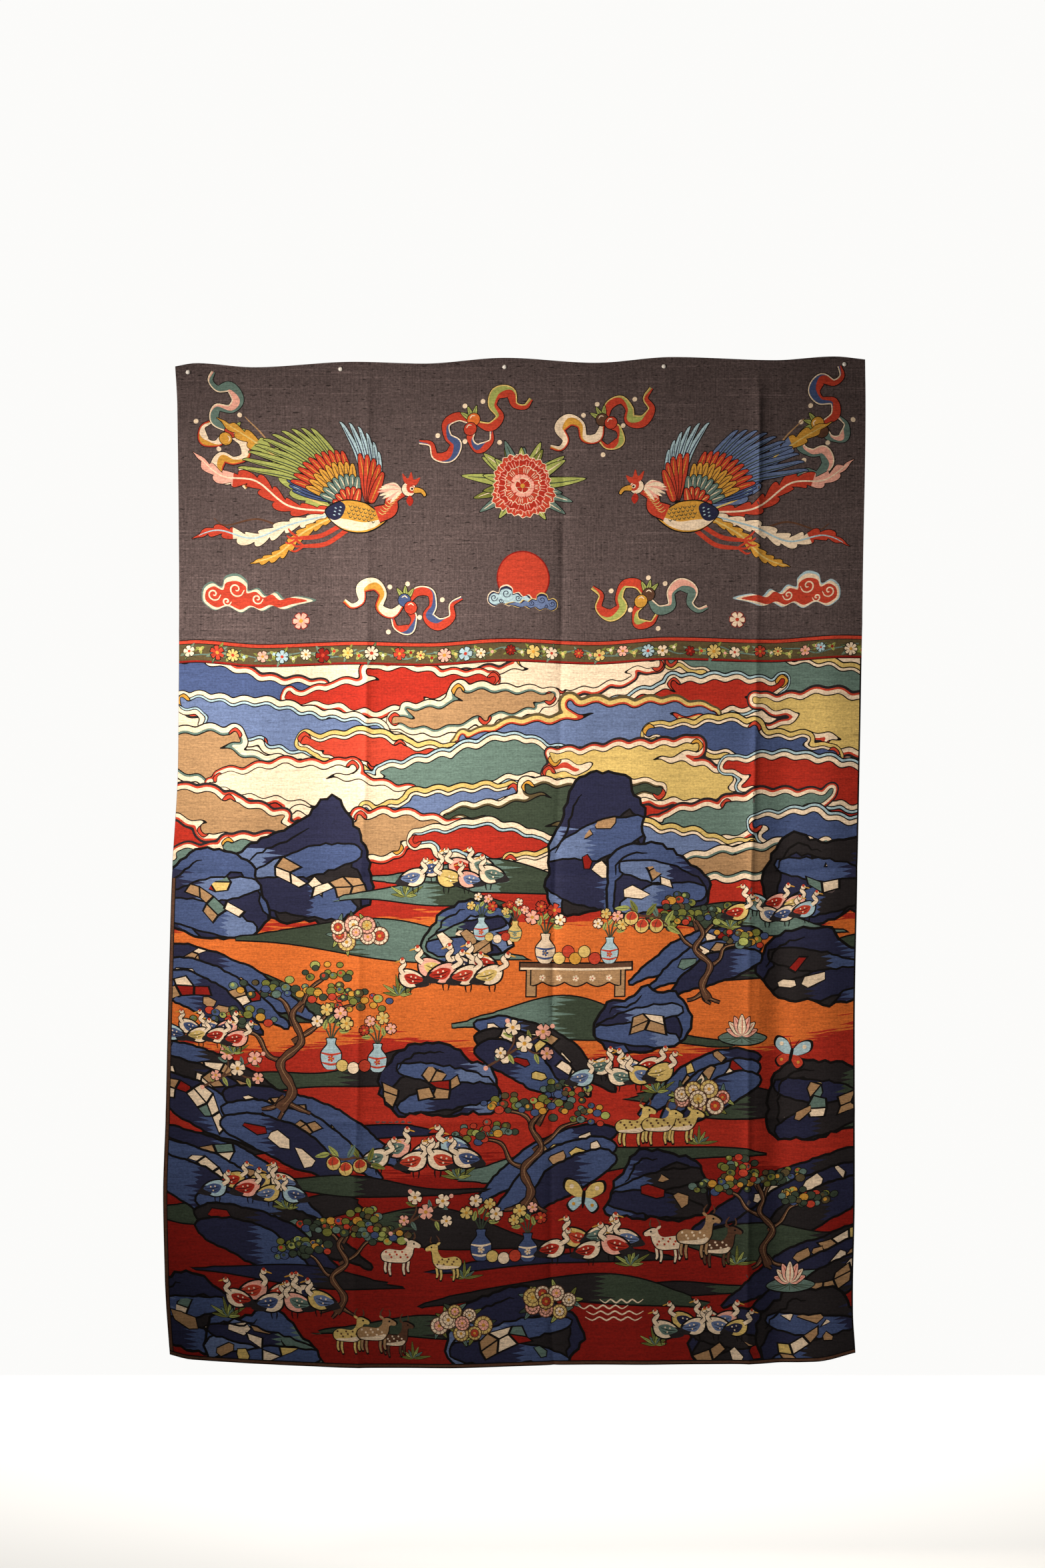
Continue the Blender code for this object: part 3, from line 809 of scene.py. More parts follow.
def bird(x, y, size, turn, flip, first):
    """A long-tailed bird in flight, its wing raised, seen from the side."""
    spot = Spot(x, y, size, turn, flip)
    line(spot([(-36, 6), (-110, -24), (-170, -96), (-215, -128)]), 3.6, "tan", DETAIL_LIFT)
    line(spot([(-36, 12), (-100, 44), (-160, 40), (-210, 66), (-232, 60)]), 3.6, "brown", DETAIL_LIFT)
    for plumes in (
            ([(-34, 2), (-96, -18), (-150, -70), (-196, -92), (-262, -112)], 30, first, "straw", 1, "gold"),
            ([(-34, 6), (-110, 8), (-176, -24), (-236, -16), (-290, -44)], 30, "coral", "cream", 2, "pink"),
            ([(-36, 12), (-104, 40), (-160, 74), (-220, 78), (-262, 104)],
             26, "cream", "pale_blue", 3, "coral"),
            ([(-30, 14), (-78, 50), (-112, 92), (-156, 118)], 20, "gold", "straw", 5)):
        plume(spot, *plumes)
    for dx, dy, low in ((0, 0, 6), (12, 6, 18)):
        leg = [(dx - 14, dy + 26), (dx - 46, low + 44), (dx - 84, low + 54)]
        spot.line(leg, 8, "coral", DETAIL_LIFT, ends=(1, 0.6))
        for claw in (-9, 0, 9):
            toe = [(dx - 82, low + 53), (dx - 96, low + 56 + claw), (dx - 104, low + 52 + claw * 1.3)]
            spot.line(toe, 3.8, "coral")
    for feathers in (
            (26, -16, 6, -112, -84, 26, 150, 10, "pale_blue", "navy", 0.62, 0.20),
            (26, -14, 5, -112, -80, 10, 92, 14, "coral", "gold", 0.70),
            (-6, -12, 6, -178, -160, 26, 104, 10, "blue", "pale_blue", 1.2, -0.05),
            (-2, -14, 10, -164, -122, 34, 206, 11, first, "pine", 0.72, 0.20),
            (0, -12, 10, -166, -112, 20, 118, 13, "coral", "gold", 0.80, 0.06),
            (0, -10, 9, -168, -104, 10, 90, 13.5, "gold", "brown", 0.80),
            (2, -8, 8, -170, -96, 4, 64, 13.5, "teal", "cream", 0.82),
            (2, -6, 6, -172, -88, 0, 40, 13, "coral", "straw", 0.86)):
        feather_row(spot, *feathers)
    spot.paint([(-48, 8), (-22, -16), (16, -20), (42, -12), (58, -24), (68, -16), (56, 10), (28, 32),
                (-12, 34)], "ink")
    body = spot.paint([(-46, 8), (-21, -14), (16, -18), (42, -10), (58, -22), (66, -15), (54, 9), (27, 30),
                       (-12, 32)],
                      "gold")
    spot.paint([(-36, 18), (-8, 15), (24, 14), (52, 2), (42, 18), (18, 30), (-12, 31)], "cream", inside=body)
    spot.paint([(-48, 8), (-28, -12), (-14, -6), (-18, 14), (-32, 20)], "navy", inside=body)
    for row in range(4):
        for k in range(6):
            sx, sy = -6 + k * 8 + (row % 2) * 4, -10 + row * 6
            spot.line([(sx - 3, sy), (sx, sy + 3.6), (sx + 3, sy)], 1.5, "pine", inside=body)
    for k in range(6):
        sx, sy = -24 - (k % 2) * 8, -4 + k * 3
        spot.line([(sx, sy), (sx + 4, sy + 1)], 2.4, "pale_blue", inside=body)
    for width, thread in ((25, "ink"), (22, "coral")):
        path = curve(spot([(42, -4), (62, -18), (62, -38), (78, -54)]), 3.0, closed=False)
        half = np.linspace(1.25, 0.72, len(path)) * width / 2 * size
        paint(strip(path, half, -half), thread, DETAIL_LIFT)
    for k in range(8):
        bx, by = 50 + k * 2.6, -10 - k * 5.2
        spot.line([(bx - 7, by), (bx, by + 3.5), (bx + 7, by - 1)], 1.6, "straw")
    for k in range(9):
        a = math.radians(140 + k * 13)
        reach = 40 - abs(k - 4) * 2
        hackle = [(74, -54), (74 + reach * 0.5 * math.cos(a), -54 - reach * 0.4 * math.sin(a)),
                  (74 + reach * math.cos(a), -54 - reach * 0.62 * math.sin(a) + 7)]
        spot.line(hackle, 5.4, ("cream", "pink", "cream")[k % 3], ends=(1, 0.1))
    spot.ball(86, -60, 12, 1.4, "cream")
    spot.paint([(82, -68), (94, -66), (98, -58), (90, -54), (83, -58)], "coral")
    spot.disc(91, -62, 3.6, "cream", LINE_LIFT)
    spot.disc(91.5, -62, 2.0, "ink", LINE_LIFT)
    spot.paint([(96, -66), (110, -66), (119, -57), (114, -52), (108, -57), (96, -55)], "ink")
    spot.paint([(96, -65), (110, -64.6), (117, -57), (114, -54), (108, -59), (96, -56)], "gold")
    spot.paint([(76, -70), (70, -84), (81, -77), (84, -90), (91, -78), (101, -84), (97, -70), (86, -67)],
               "coral")
    spot.paint([(90, -50), (98, -42), (94, -32), (86, -40)], "red")


def ribbon(spot, points, width, threads):
    """A floating ribbon that turns over: two colours side by side, with a pale edge."""
    path = curve(spot(points), 3.0, closed=False)
    t = np.linspace(0, 1, len(path))
    w = width * spot.size * (0.22 + 0.78 * np.sin(np.pi * np.clip(t, 0.02, 0.98)) ** 0.6)
    w = w * (0.86 + 0.22 * np.sin(t * 13))
    twist = 0.34 * np.sin(t * math.tau * 1.6)
    a, b, c = threads
    paint(strip(path, w / 2 + 1.3, -w / 2 - 1.3), "ink", DETAIL_LIFT)
    paint(strip(path, w / 2, -w / 2), a, DETAIL_LIFT)
    paint(strip(path, w * (twist + 0.08), -w / 2), b, DETAIL_LIFT)
    paint(strip(path, w / 2, w / 2 - 2.6 * spot.size), c, LINE_LIFT)


def scroll(x, y, size, turn, flip, threads, others, fruit):
    """Two ribbons that wind round fruits and pearls."""
    spot = Spot(x, y, size, turn, flip)
    ribbon(spot, [(-4, 2), (-26, 24), (-52, 14), (-48, -14), (-66, -32), (-92, -22), (-90, 4), (-108, 16),
                  (-126, 6)],
           25, threads)
    ribbon(spot, [(4, 0), (22, -26), (50, -26), (58, 0), (50, 22), (72, 38), (98, 24), (96, -2), (116, -16)],
           25, others)
    ribbon(spot, [(0, 6), (20, 26), (14, 52), (-14, 52), (-24, 34)], 20, others)
    for dx, dy in ((-34, -30), (32, 26), (-30, 62), (76, -12), (2, -40)):
        spot.disc(dx, dy, 5.0, "cream", LINE_LIFT)
    for angle in (-60, -95, -130):
        inked_leaf(spot, 0, -6, 30, 9.5, 2, 12, angle, "leaf")
    for dx, dy, thread in ((-2, -6, fruit[0]), (12, 8, fruit[1])):
        spot.ball(dx, dy, 13, 1.5, thread)
        spot.line([(dx - 6, dy - 5), (dx, dy - 9), (dx + 6, dy - 5)], 2.4, "cream")


def crane(x, y, size, flip, bend, wing, coat):
    """A standing crane."""
    spot = Spot(x, y, size, 0, flip)
    spot.line([(-2, -22), (-4, -10), (-2, 0)], 2.6, "ink")
    spot.line([(6, -22), (8, -10), (6, 0)], 2.6, "ink")
    spot.paint([(-36, -32), (-18, -50), (8, -56), (24, -44), (20, -22), (0, -12), (-22, -16)], "ink")
    spot.paint([(-31, -32), (-16, -47), (8, -53), (21, -43), (17, -24), (0, -15), (-19, -19)], coat)
    spot.paint([(-44, -20), (-26, -38), (-10, -30), (-18, -15)], "charcoal")
    spot.paint([(-31, -30), (-10, -44), (11, -40), (-2, -22)], wing)
    spot.line([(-28, -31), (-10, -32), (6, -38)], 1.6, "ink")
    spot.line([(-22, -26), (-10, -26), (2, -30)], 1.6, "ink")
    for dx, dy in ((-14, -36), (-4, -38), (-8, -28)):
        spot.disc(dx, dy, 1.9, "cream", LINE_LIFT)
    hx, hy = 23 + bend * 1.5, -72
    neck = [(14, -44), (24 + bend, -54), (16 + bend, -64), (hx, hy)]
    spot.line(neck, 12, "ink", ends=(1, 0.9))
    spot.line(neck, 8.6, "cream", ends=(1, 0.9))
    spot.disc(hx, hy, 7.6, "ink")
    spot.disc(hx, hy, 6.0, "cream", LINE_LIFT)
    spot.disc(hx, hy - 4, 3.4, "coral", LINE_LIFT)
    spot.line([(hx + 3, hy), (hx + 10, hy + 2), (hx + 16, hy + 4)], 3, "gold")
    spot.disc(hx + 1.4, hy - 0.5, 1.2, "ink", LINE_LIFT)


def cranes(x, y, size, seed):
    """Cranes standing close together in two rows, with a tuft of leaves."""
    rng = random.Random(seed)
    fan_plant(x + rng.choice((-66, 64)) * size, y + 3, 0.62 * size, 8)
    for k, place in enumerate((-22, 20, 54, -52, 2, 36, 72)[: 6 + seed % 2]):
        back = -16 if k < 3 else 0
        coat = rng.choice(("cream", "cream", "straw", "cream", "pink", "pale_blue"))
        foot = y + (back + rng.uniform(-4, 4)) * size
        crane(x + place * size, foot, 0.78 * size * rng.uniform(0.88, 1.0), rng.random() < 0.5,
              rng.uniform(-5, 7),
              rng.choice(("blue", "sky_blue", "coral", "straw", "teal", "red", "navy")), coat)


def deer(x, y, size, flip, coat, spots, bend):
    """A standing spotted deer."""
    spot = Spot(x, y, size, 0, flip)
    for lx, foot in ((-22, -2), (-14, 3), (12, 2), (20, -3)):
        for shorter, width, thread in ((0, 7, "ink"), (3, 4.4, coat)):
            spot.line([(lx, -26), (lx - 2, -12), (lx, foot - shorter)], width, thread, ends=(1, 0.6))
    for horn in ([(20, -66 + bend), (14, -78 + bend), (20, -88 + bend)],
                 [(24, -66 + bend), (32, -76 + bend), (30, -86 + bend)]):
        spot.line(horn, 3, "brown")
    outline = [(-30, -40), (-18, -48), (6, -46), (16, -56 + bend * 0.5), (18, -68 + bend), (28, -70 + bend),
               (42, -62 + bend), (40, -56 + bend), (30, -56 + bend), (26, -36), (14, -24), (-14, -24),
               (-28, -28)]
    spot.paint([(px * 1.07, -40 + (py + 40) * 1.09) for px, py in outline], "ink")
    body = spot.paint(outline, coat)
    spot.paint([(-26, -28), (0, -30), (22, -34), (12, -22), (-14, -22)], "cream", inside=body)
    spot.line([(20, -68 + bend), (12, -74 + bend)], 5, coat)
    for k in range(9):
        spot.disc(-22 + k * 5 + (k % 2) * 2, -43 + (k % 3) * 5, 2.0, spots, LINE_LIFT)
    spot.disc(30, -64 + bend, 1.8, "ink", LINE_LIFT)


def herd(x, y, size, seed):
    """A few deer, unlike in colour, by a tuft of leaves."""
    rng = random.Random(seed)
    fan_plant(x + 58 * size, y + 2, 0.6 * size, 7)
    for place in (-52, 28, -8)[: 2 + seed % 2]:
        coats = (("tan", "cream"), ("cream", "coral"), ("straw", "brown"), ("brown", "cream"))
        coat, spots = rng.choice(coats)
        foot = y + rng.uniform(-8, 8) * size
        deer(x + place * size, foot, size * rng.uniform(0.8, 0.95), rng.random() < 0.4, coat, spots,
             rng.uniform(-4, 10))


def butterfly(x, y, size, seed):
    """A butterfly with spread wings."""
    spot = Spot(x, y, size, seed * 7 - 100)
    a, b = ("straw", "pale_blue") if seed % 2 else ("pale_blue", "coral")
    for side in (-1, 1):
        for grow, upper, lower in ((1.13, "ink", "ink"), (1.0, a, b)):
            wide = side * grow
            spot.paint([(0, -2 * grow), (wide * 10, -20 * grow), (wide * 26, -24 * grow),
                        (wide * 28, -10 * grow),
                        (wide * 12, 0)], upper)
            spot.paint([(0, 1), (wide * 14, 2), (wide * 22, 12 * grow), (wide * 14, 21 * grow),
                        (wide * 4, 12 * grow)], lower)
        spot.disc(side * 19, -15, 3.4, "cream", LINE_LIFT)
        spot.disc(side * 14, 11, 2.6, "gold", LINE_LIFT)
        spot.line([(side * 1, -8), (side * 5, -18), (side * 9, -26)], 1.2, "ink")
    spot.paint([(-2.2, -9), (2.2, -9), (2.6, 6), (0, 17), (-2.6, 6)], "ink", LINE_LIFT)


def vase(x, y, size, threads, seed, flip=False):
    """A tall jar of flowering branches."""
    rng = random.Random(seed)
    glaze, motif = threads
    spot = Spot(x, y, size, 0, flip)
    for angle, reach in ((-128, 34), (-100, 44), (-72, 40), (-48, 32)):
        r = math.radians(angle)
        ex, ey = reach * math.cos(r), -42 + reach * math.sin(r)
        spot.line([(0, -40), (ex * 0.4, -42 + (ey + 42) * 0.6), (ex, ey)], 2.2, "pine")
        leaf(spot, ex * 0.5, -42 + (ey + 42) * 0.55, 15, 7, angle + 50, "leaf")
        blossom(spot, ex, ey, rng.uniform(8, 11), rng.choice(("pink", "cream", "coral", "straw")), edge="ink")
    half = [(0, -44), (6.5, -44), (5.5, -36), (14, -24), (13, -10), (7, -1), (0, 0)]
    for grow, thread in ((1.6, "ink"), (0.0, glaze)):
        right = [(px + (grow if px else 0), py * (1 + grow / 60)) for px, py in half]
        body = spot.paint(right + [(-px, py) for px, py in right[-2:0:-1]], thread)
    for wide, down in ((16, -24), (14, -10)):
        spot.line([(-wide, down), (0, down + 3), (wide, down)], 3, motif, inside=body)
    blossom(spot, 0, -15.5, 5.2, motif)


def jars(x, y, size, seed):
    """Two jars of flowers with fruit between them."""
    rng = random.Random(seed)
    pairs = (("cream", "blue"), ("pale_blue", "coral"), ("straw", "teal"), ("blue", "cream"))
    vase(x - 34 * size, y, 1.05 * size, rng.choice(pairs), seed)
    vase(x + 36 * size, y + 4, 0.95 * size, rng.choice(pairs), seed + 1, True)
    for k, thread in enumerate(("straw", "cream", "coral")):
        for radius, colour in ((10, "ink"), (8.7, thread)):
            disc(x + (k - 1) * 17 * size, y - 6 * size + (4 if k == 1 else 0), radius * size, colour)


def fruits(x, y, size, seed):
    """A branch of peaches with leaves."""
    rng = random.Random(seed)
    spot = Spot(x, y, size, rng.uniform(-20, 20), seed % 2 == 0)
    spot.line([(-36, 8), (-12, -4), (14, -2), (38, -14)], 4, "brown")
    for lx, ly, angle in ((-30, 4, -110), (-14, -4, -60), (4, -4, -120), (20, -6, -50), (34, -12, 10),
                          (-34, 8, 160)):
        leaf(spot, lx, ly, 25, 9, angle, rng.choice(("leaf", "moss", "teal")))
    for px, py in ((-16, 10), (8, 14), (28, 4)):
        spot.ball(px, py, 11.4, 1.6, "straw")
        spot.paint([(px - 9, py - 4), (px, py - 11), (px + 9, py - 4), (px + 6, py + 3), (px - 5, py + 2)],
                   "coral")
        spot.line([(px, py - 10), (px + 2.5, py), (px, py + 9)], 1.2, "brown")


def spray(x, y, size, seed):
    """A cut spray of blossom with buds and leaves."""
    rng = random.Random(seed)
    spot = Spot(x, y, size, 0, seed % 4 == 0)
    for twig, width in (([(-44, 22), (-16, 6), (10, -10), (42, -28)], 3.6),
                        ([(-16, 6), (-4, -14), (-6, -34)], 2.6),
                        ([(8, -9), (26, 2), (44, 2)], 2.6)):
        spot.line(twig, width, "brown", ends=(1, 0.3))
    for lx, ly, angle in ((-30, 14, -80), (-12, 4, 60), (0, -4, -20), (20, -16, -100), (34, -24, 30),
                          (28, 3, 70),
                          (-5, -22, -160)):
        leaf(spot, lx, ly, 17, 7, angle, rng.choice(("leaf", "moss", "teal")))
    for px, py, r in ((-6, -36, 12), (12, -12, 13), (40, -30, 12), (46, 3, 10), (-24, 2, 9)):
        blossom(spot, px, py, r, rng.choice(("pink", "cream")), edge="ink", start=rng.uniform(0, 72))
    for px, py in ((-46, 24), (54, -38), (-14, -46)):
        spot.disc(px, py, 3.6, "pink")


def lotus(x, y, size):
    """An open lotus over its leaf."""
    spot = Spot(x, y, size)
    spot.paint([(-40, 12), (-22, 2), (10, 0), (42, 10), (30, 22), (0, 26), (-28, 22)], "ink")
    pad = spot.paint([(-38, 12), (-22, 4), (10, 2), (40, 11), (29, 20), (0, 24), (-27, 20)], "teal")
    for k in range(7):
        c, s = math.cos(math.radians(-165 + k * 25)), math.sin(math.radians(-165 + k * 25))
        spot.line([(0, 12), (22 * c, 12 - 6 * s), (40 * c, 13 - 9 * s)], 1.2, "pine", inside=pad)
    for angle, reach, thread in ((70, 27, "pink"), (45, 30, "cream"), (22, 33, "pink")):
        for turn in (-90 - angle, -90 + angle):
            inked_leaf(spot, 0, 8, reach, 12.5, 1.8, 15, turn, thread, "coral")
    inked_leaf(spot, 0, 8, 34, 12.5, 1.8, 15, -90, "cream", "coral")


def fan_plant(x, y, size, count):
    """A tuft of long pointed leaves."""
    spot = Spot(x, y, size)
    for k in range(count):
        reach = 40 + 12 * math.sin(k * 2.4)
        thread = ("moss", "leaf", "teal")[k % 3]
        inked_leaf(spot, 0, 0, reach, 7.6, 2, 10, -172 + 164 * k / (count - 1), thread)


def flowers(x, y, size, seed):
    """A clump of many-petalled flowers over leaves."""
    rng = random.Random(seed)
    spot = Spot(x, y, size)
    kinds = ("cream", "straw", "pink", "cream")
    places = []
    for k in range(7):
        a = math.tau * k / 7 + rng.uniform(-0.3, 0.3)
        r = 30 * (0.55 + 0.45 * rng.random())
        places.append((1.55 * r * math.cos(a), 0.75 * r * math.sin(a)))
    for px, py in places:
        for _ in range(3):
            inked_leaf(spot, px, py, 25, 7.6, 2, 10, rng.uniform(0, 360),
                       rng.choice(("moss", "leaf", "teal", "pine")))
    for px, py in places + [(0, 0)]:
        thread, radius = rng.choice(kinds), rng.uniform(12, 17)
        spot.disc(px, py, radius + 1.5, "ink")
        petal_ring(spot, px, py, 11, 3, radius, radius * 0.62, thread, "brown", rng.uniform(0, 30), 1)
        thread = rng.choice(kinds + ("coral",))
        petal_ring(spot, px, py, 7, 1, radius * 0.58, radius * 0.42, thread, "brown", 0, 1)
        spot.disc(px, py, radius * 0.2, "gold", LINE_LIFT)


def block(x0, x1, y0, y1, thread, lift=DETAIL_LIFT):
    """An upright rectangle, with a point about every 6 mm."""
    xs = np.linspace(x0, x1, max(2, int((x1 - x0) / 6)))
    ys = np.linspace(y0, y1, max(2, int((y1 - y0) / 6)))
    top, low = (np.stack([xs, np.full(len(xs), y)], 1) for y in (y0, y1))
    left, right = (np.stack([np.full(len(ys), x), ys], 1)[1:-1] for x in (x0, x1))
    paint(np.vstack([top, right, low[::-1], left[::-1]]), thread, lift)


def stand(x, y, wide, tall):
    """A low stand with a scalloped apron, with jars and fruit on it."""
    left, right, top = x - wide / 2, x + wide / 2, y - tall
    slab = tall * 0.20
    block(left - 3, right + 3, top - 3, top + slab + 3, "ink")
    for grow, thread in ((2.5, "ink"), (0, "tan")):
        for x0, x1 in ((left + wide * 0.06, left + wide * 0.14), (right - wide * 0.14, right - wide * 0.06)):
            block(x0 - grow, x1 + grow, top, y + grow, thread)
    xs = np.linspace(left + wide * 0.10, right - wide * 0.10, int(wide / 4))
    drop = tall * (0.34 + 0.13 * np.abs(np.sin((xs - left) / wide * math.pi * 5)))
    upper, lower = np.full(len(xs), top + slab), top + slab + drop
    apron = np.vstack([np.stack([xs, upper], 1), np.stack([xs, lower], 1)[::-1]])
    edged(apron, "tan", 2.4, DETAIL_LIFT)
    block(left, right, top, top + slab, "brown")
    block(left, right, top + slab * 0.68, top + slab, "cream", LINE_LIFT)
    for k in range(5):
        blossom(Spot(left + wide * (0.2 + 0.15 * k), top + slab * 2.2), 0, 0, tall * 0.10, "cream", "coral")
    rng = random.Random(2)
    vase(left + wide * 0.22, top, 1.25, ("cream", "blue"), 2)
    vase(right - wide * 0.2, top, 1.1, ("pale_blue", "coral"), 3)
    for k in range(5):
        px, py = x + (k - 2) * 17 + rng.uniform(-2, 2), top - 10 - (k % 2) * 13
        disc(px, py, 12.5, "ink")
        disc(px, py, 11, ("straw", "coral", "gold")[k % 3])


def ripples(x, y, wide, seed):
    """Rows of thin wave lines."""
    rng = random.Random(seed)
    for row in range(4):
        long = wide * rng.uniform(0.35, 0.8)
        sx = x + rng.uniform(-0.2, 0.2) * wide - long / 2
        line([(sx + long * k / 8, y + row * 11 + (3.2 if k % 2 else -3.2)) for k in range(9)], 3.0, "cream")

RED_LINE_Y, BORDER_TOP, BORDER_LOW, SKY_TOP = 527.0, 533.0, 565.0, 570.0


def wavy(y, height, waves, phase):
    """A wandering line across the cloth."""
    xs = np.linspace(0, WIDE, int(WIDE / 6.0))
    ys = y + sum(height / (k + 1) * np.sin(xs / length + phase * (k + 1)) for k, length in enumerate(waves))
    return np.stack([xs, ys], 1)


def spindle(x, y, long, thick, thread):
    """A short level streak of weft."""
    paint([(x - long / 2, y), (x - long / 6, y - thick / 2), (x + long / 6, y - thick / 2), (x + long / 2, y),
           (x + long / 6, y + thick / 2), (x - long / 6, y + thick / 2)], thread)


def zone(y, height, waves, phase, thread, seed):
    """Everything below a wandering line, with level streaks of its colour above the line."""
    rng = random.Random(seed)
    top = wavy(y, height, waves, phase)
    low = wavy(TALL, 0, (1,), 0)[::-1]
    side = np.array([[0, at] for at in np.arange(TALL, top[0, 1], -6.0)])
    other = np.array([[WIDE, at] for at in np.arange(top[-1, 1], TALL, 6.0)])
    paint(np.vstack([top, other[1:], low, side[1:]]), thread)
    for _ in range(150):
        px, py = top[rng.randrange(len(top))]
        spindle(px, py - rng.expovariate(1 / 7.0), rng.uniform(26, 70), rng.uniform(1.8, 3.4), thread)


def band(y0, y1, thread, lift=GROUND_LIFT):
    """A level strip across the cloth."""
    xs = np.linspace(0, WIDE, int(WIDE / 6))
    top, low = (np.stack([xs, np.full(len(xs), y)], 1) for y in (y0, y1))
    paint(np.vstack([top, low[::-1]]), thread, lift)


def post(x0, x1, thread, y0, y1):
    """An upright strip along the cloth's side."""
    ys = np.linspace(y0, y1, int((y1 - y0) / 6))
    one, other = (np.stack([np.full(len(ys), x), ys], 1) for x in (x0, x1))
    paint(np.vstack([one, other[::-1]]), thread, LINE_LIFT)


def ruyi(x, y, size, flip, threads):
    """A curled cloud with a trailing tail."""
    a, b, c = threads
    spot = Spot(x, y, size, 0, flip)
    lobes = [(-52, 8), (-50, -10), (-36, -20), (-20, -14), (-14, -30), (6, -36), (22, -26), (24, -12),
             (40, -16), (54, -4), (70, -10), (84, 2), (104, -2), (134, 6), (106, 12), (84, 18), (66, 12),
             (48, 20), (30, 14),
             (12, 24), (-10, 16), (-30, 24), (-44, 18)]
    spot.paint([(px * 1.045, (py - 1) * 1.10) for px, py in lobes], c)
    spot.paint(lobes, b)
    spot.paint([(px * 0.93, (py + 1) * 0.80) for px, py in lobes], a)
    for cx, cy, r in ((-34, -2, 12), (4, -14, 14), (40, 0, 10), (-12, 8, 8)):
        curl = [(r * (1 - k / 11), k * 0.85) for k in range(11)]
        curled = [(cx + reach * math.cos(a), cy + reach * math.sin(a)) for reach, a in curl]
        spot.line(curled, 2.6, b, ends=(0.5, 0.5))


def medallion(x, y, radius):
    """A plain round disc with curled clouds at its foot."""
    disc(x, y, radius + 2.4, "deep_red", sides=48)
    disc(x, y, radius, "coral", sides=48)
    ruyi(x - 34, y + radius * 0.80, 0.62, False, ("pale_blue", "navy", "cream"))
    ruyi(x + 38, y + radius * 0.98, 0.52, True, ("sky_blue", "navy", "straw"))


BLUE_RED, GREEN_CORAL, GOLD_CREAM, PINK_TEAL = (
    ("blue", "coral", "cream"), ("leaf", "coral", "straw"), ("gold", "cream", "coral"),
    ("pink", "teal", "cream"))


def top_band():
    scroll(96, 128, 0.92, 80, False, PINK_TEAL, GOLD_CREAM, ("coral", "gold"))
    scroll(560, 118, 0.92, 24, True, GREEN_CORAL, BLUE_RED, ("orange", "coral"))
    scroll(806, 112, 0.90, -24, False, GOLD_CREAM, GREEN_CORAL, ("brown", "coral"))
    scroll(1214, 128, 0.92, 74, True, BLUE_RED, PINK_TEAL, ("gold", "brown"))
    bird(330, 282, 1.10, 12, False, "leaf")
    bird(972, 290, 1.10, 9, True, "sky_blue")
    peony(Spot(652, 240), 62)
    medallion(654, 412, 48)
    scroll(430, 452, 0.92, 4, False, GOLD_CREAM, BLUE_RED, ("blue", "coral"))
    scroll(890, 450, 0.92, -6, True, PINK_TEAL, GREEN_CORAL, ("brown", "gold"))
    ruyi(104, 440, 1.12, False, ("coral", "cream", "teal"))
    ruyi(1200, 444, 1.05, True, ("coral", "cream", "pale_blue"))
    blossom(Spot(232, 484), 0, 0, 16, "pink", "gold", 6, "deep_red")
    blossom(Spot(1062, 490), 0, 0, 15, "cream", "coral", 6, "deep_red")


def border():
    band(RED_LINE_Y - 1.6, BORDER_TOP + 1.2, "ink")
    band(RED_LINE_Y, BORDER_TOP, "coral")
    band(BORDER_TOP + 1.2, BORDER_LOW, "olive")
    band(BORDER_LOW, SKY_TOP, "deep_red")
    band(SKY_TOP - 1.5, SKY_TOP, "ink")
    middle = (BORDER_TOP + BORDER_LOW) / 2 + 0.5
    xs = np.arange(4, WIDE - 2, 5.0)
    vine = np.stack([xs, middle + 6.2 * np.sin(xs / 21) + 1.5 * np.sin(xs / 8.3)], 1)
    line(vine, 2.4, "teal", ends=(1, 1), smooth=False)
    rng = random.Random(4)
    kinds = ("cream", "coral", "straw", "pink", "pale_blue", "cream", "deep_red", "straw")
    for k, x in enumerate(np.arange(24, WIDE - 14, 43.0)):
        x += rng.uniform(-9, 9)
        spot = Spot(x, middle + rng.uniform(-3, 3), rng.uniform(0.72, 1.15), rng.uniform(-40, 40))
        for angle in (-168, -30, 12, 150):
            leaf(spot, 0, 0, 21, 7, angle + rng.uniform(-12, 12), rng.choice(("moss", "teal", "pine")),
                 "leaf")
        heart, petals = "gold" if k % 2 else "coral", (5, 6, 8)[k % 3]
        blossom(spot, 0, 0, 12.5, kinds[k % len(kinds)], heart, petals, "ink")
        sprig = Spot(x + 21.5, middle - 6 * math.sin((x + 21.5) / 21), 1.0, rng.uniform(-30, 30))
        for angle in (-150, -30, 90):
            leaf(sprig, 0, 0, 9, 6, angle, "leaf", "moss")
        disc(x + 21.5, sprig.y, 3.0, rng.choice(kinds))


RINGS = {
    "blue": (("ink", 2.6), ("cream", 9.0), ("ink", 2.1), ("pale_blue", 3.8), ("ink", 2.1)),
    "cream": (("ink", 2.6), ("coral", 4.0), ("cream", 8.0), ("ink", 2.1)),
    "teal": (("ink", 2.6), ("cream", 9.0), ("teal", 3.6), ("ink", 2.1)),
    "red": (("ink", 2.6), ("pale_blue", 4.0), ("ink", 2.1), ("cream", 8.0), ("ink", 2.1)),
    "tan": (("ink", 2.6), ("cream", 8.5), ("olive", 4.0), ("ink", 2.1)),
    "gold": (("ink", 2.6), ("straw", 7.5), ("ink", 2.1), ("cream", 4.5), ("ink", 2.1)),
    "olive": (("olive", 5.6), ("straw", 7.5), ("coral", 3.0), ("ink", 2.1)),
    "night": (("charcoal", 4.8), ("coral", 3.8), ("cream", 7.5), ("ink", 2.1)),
}
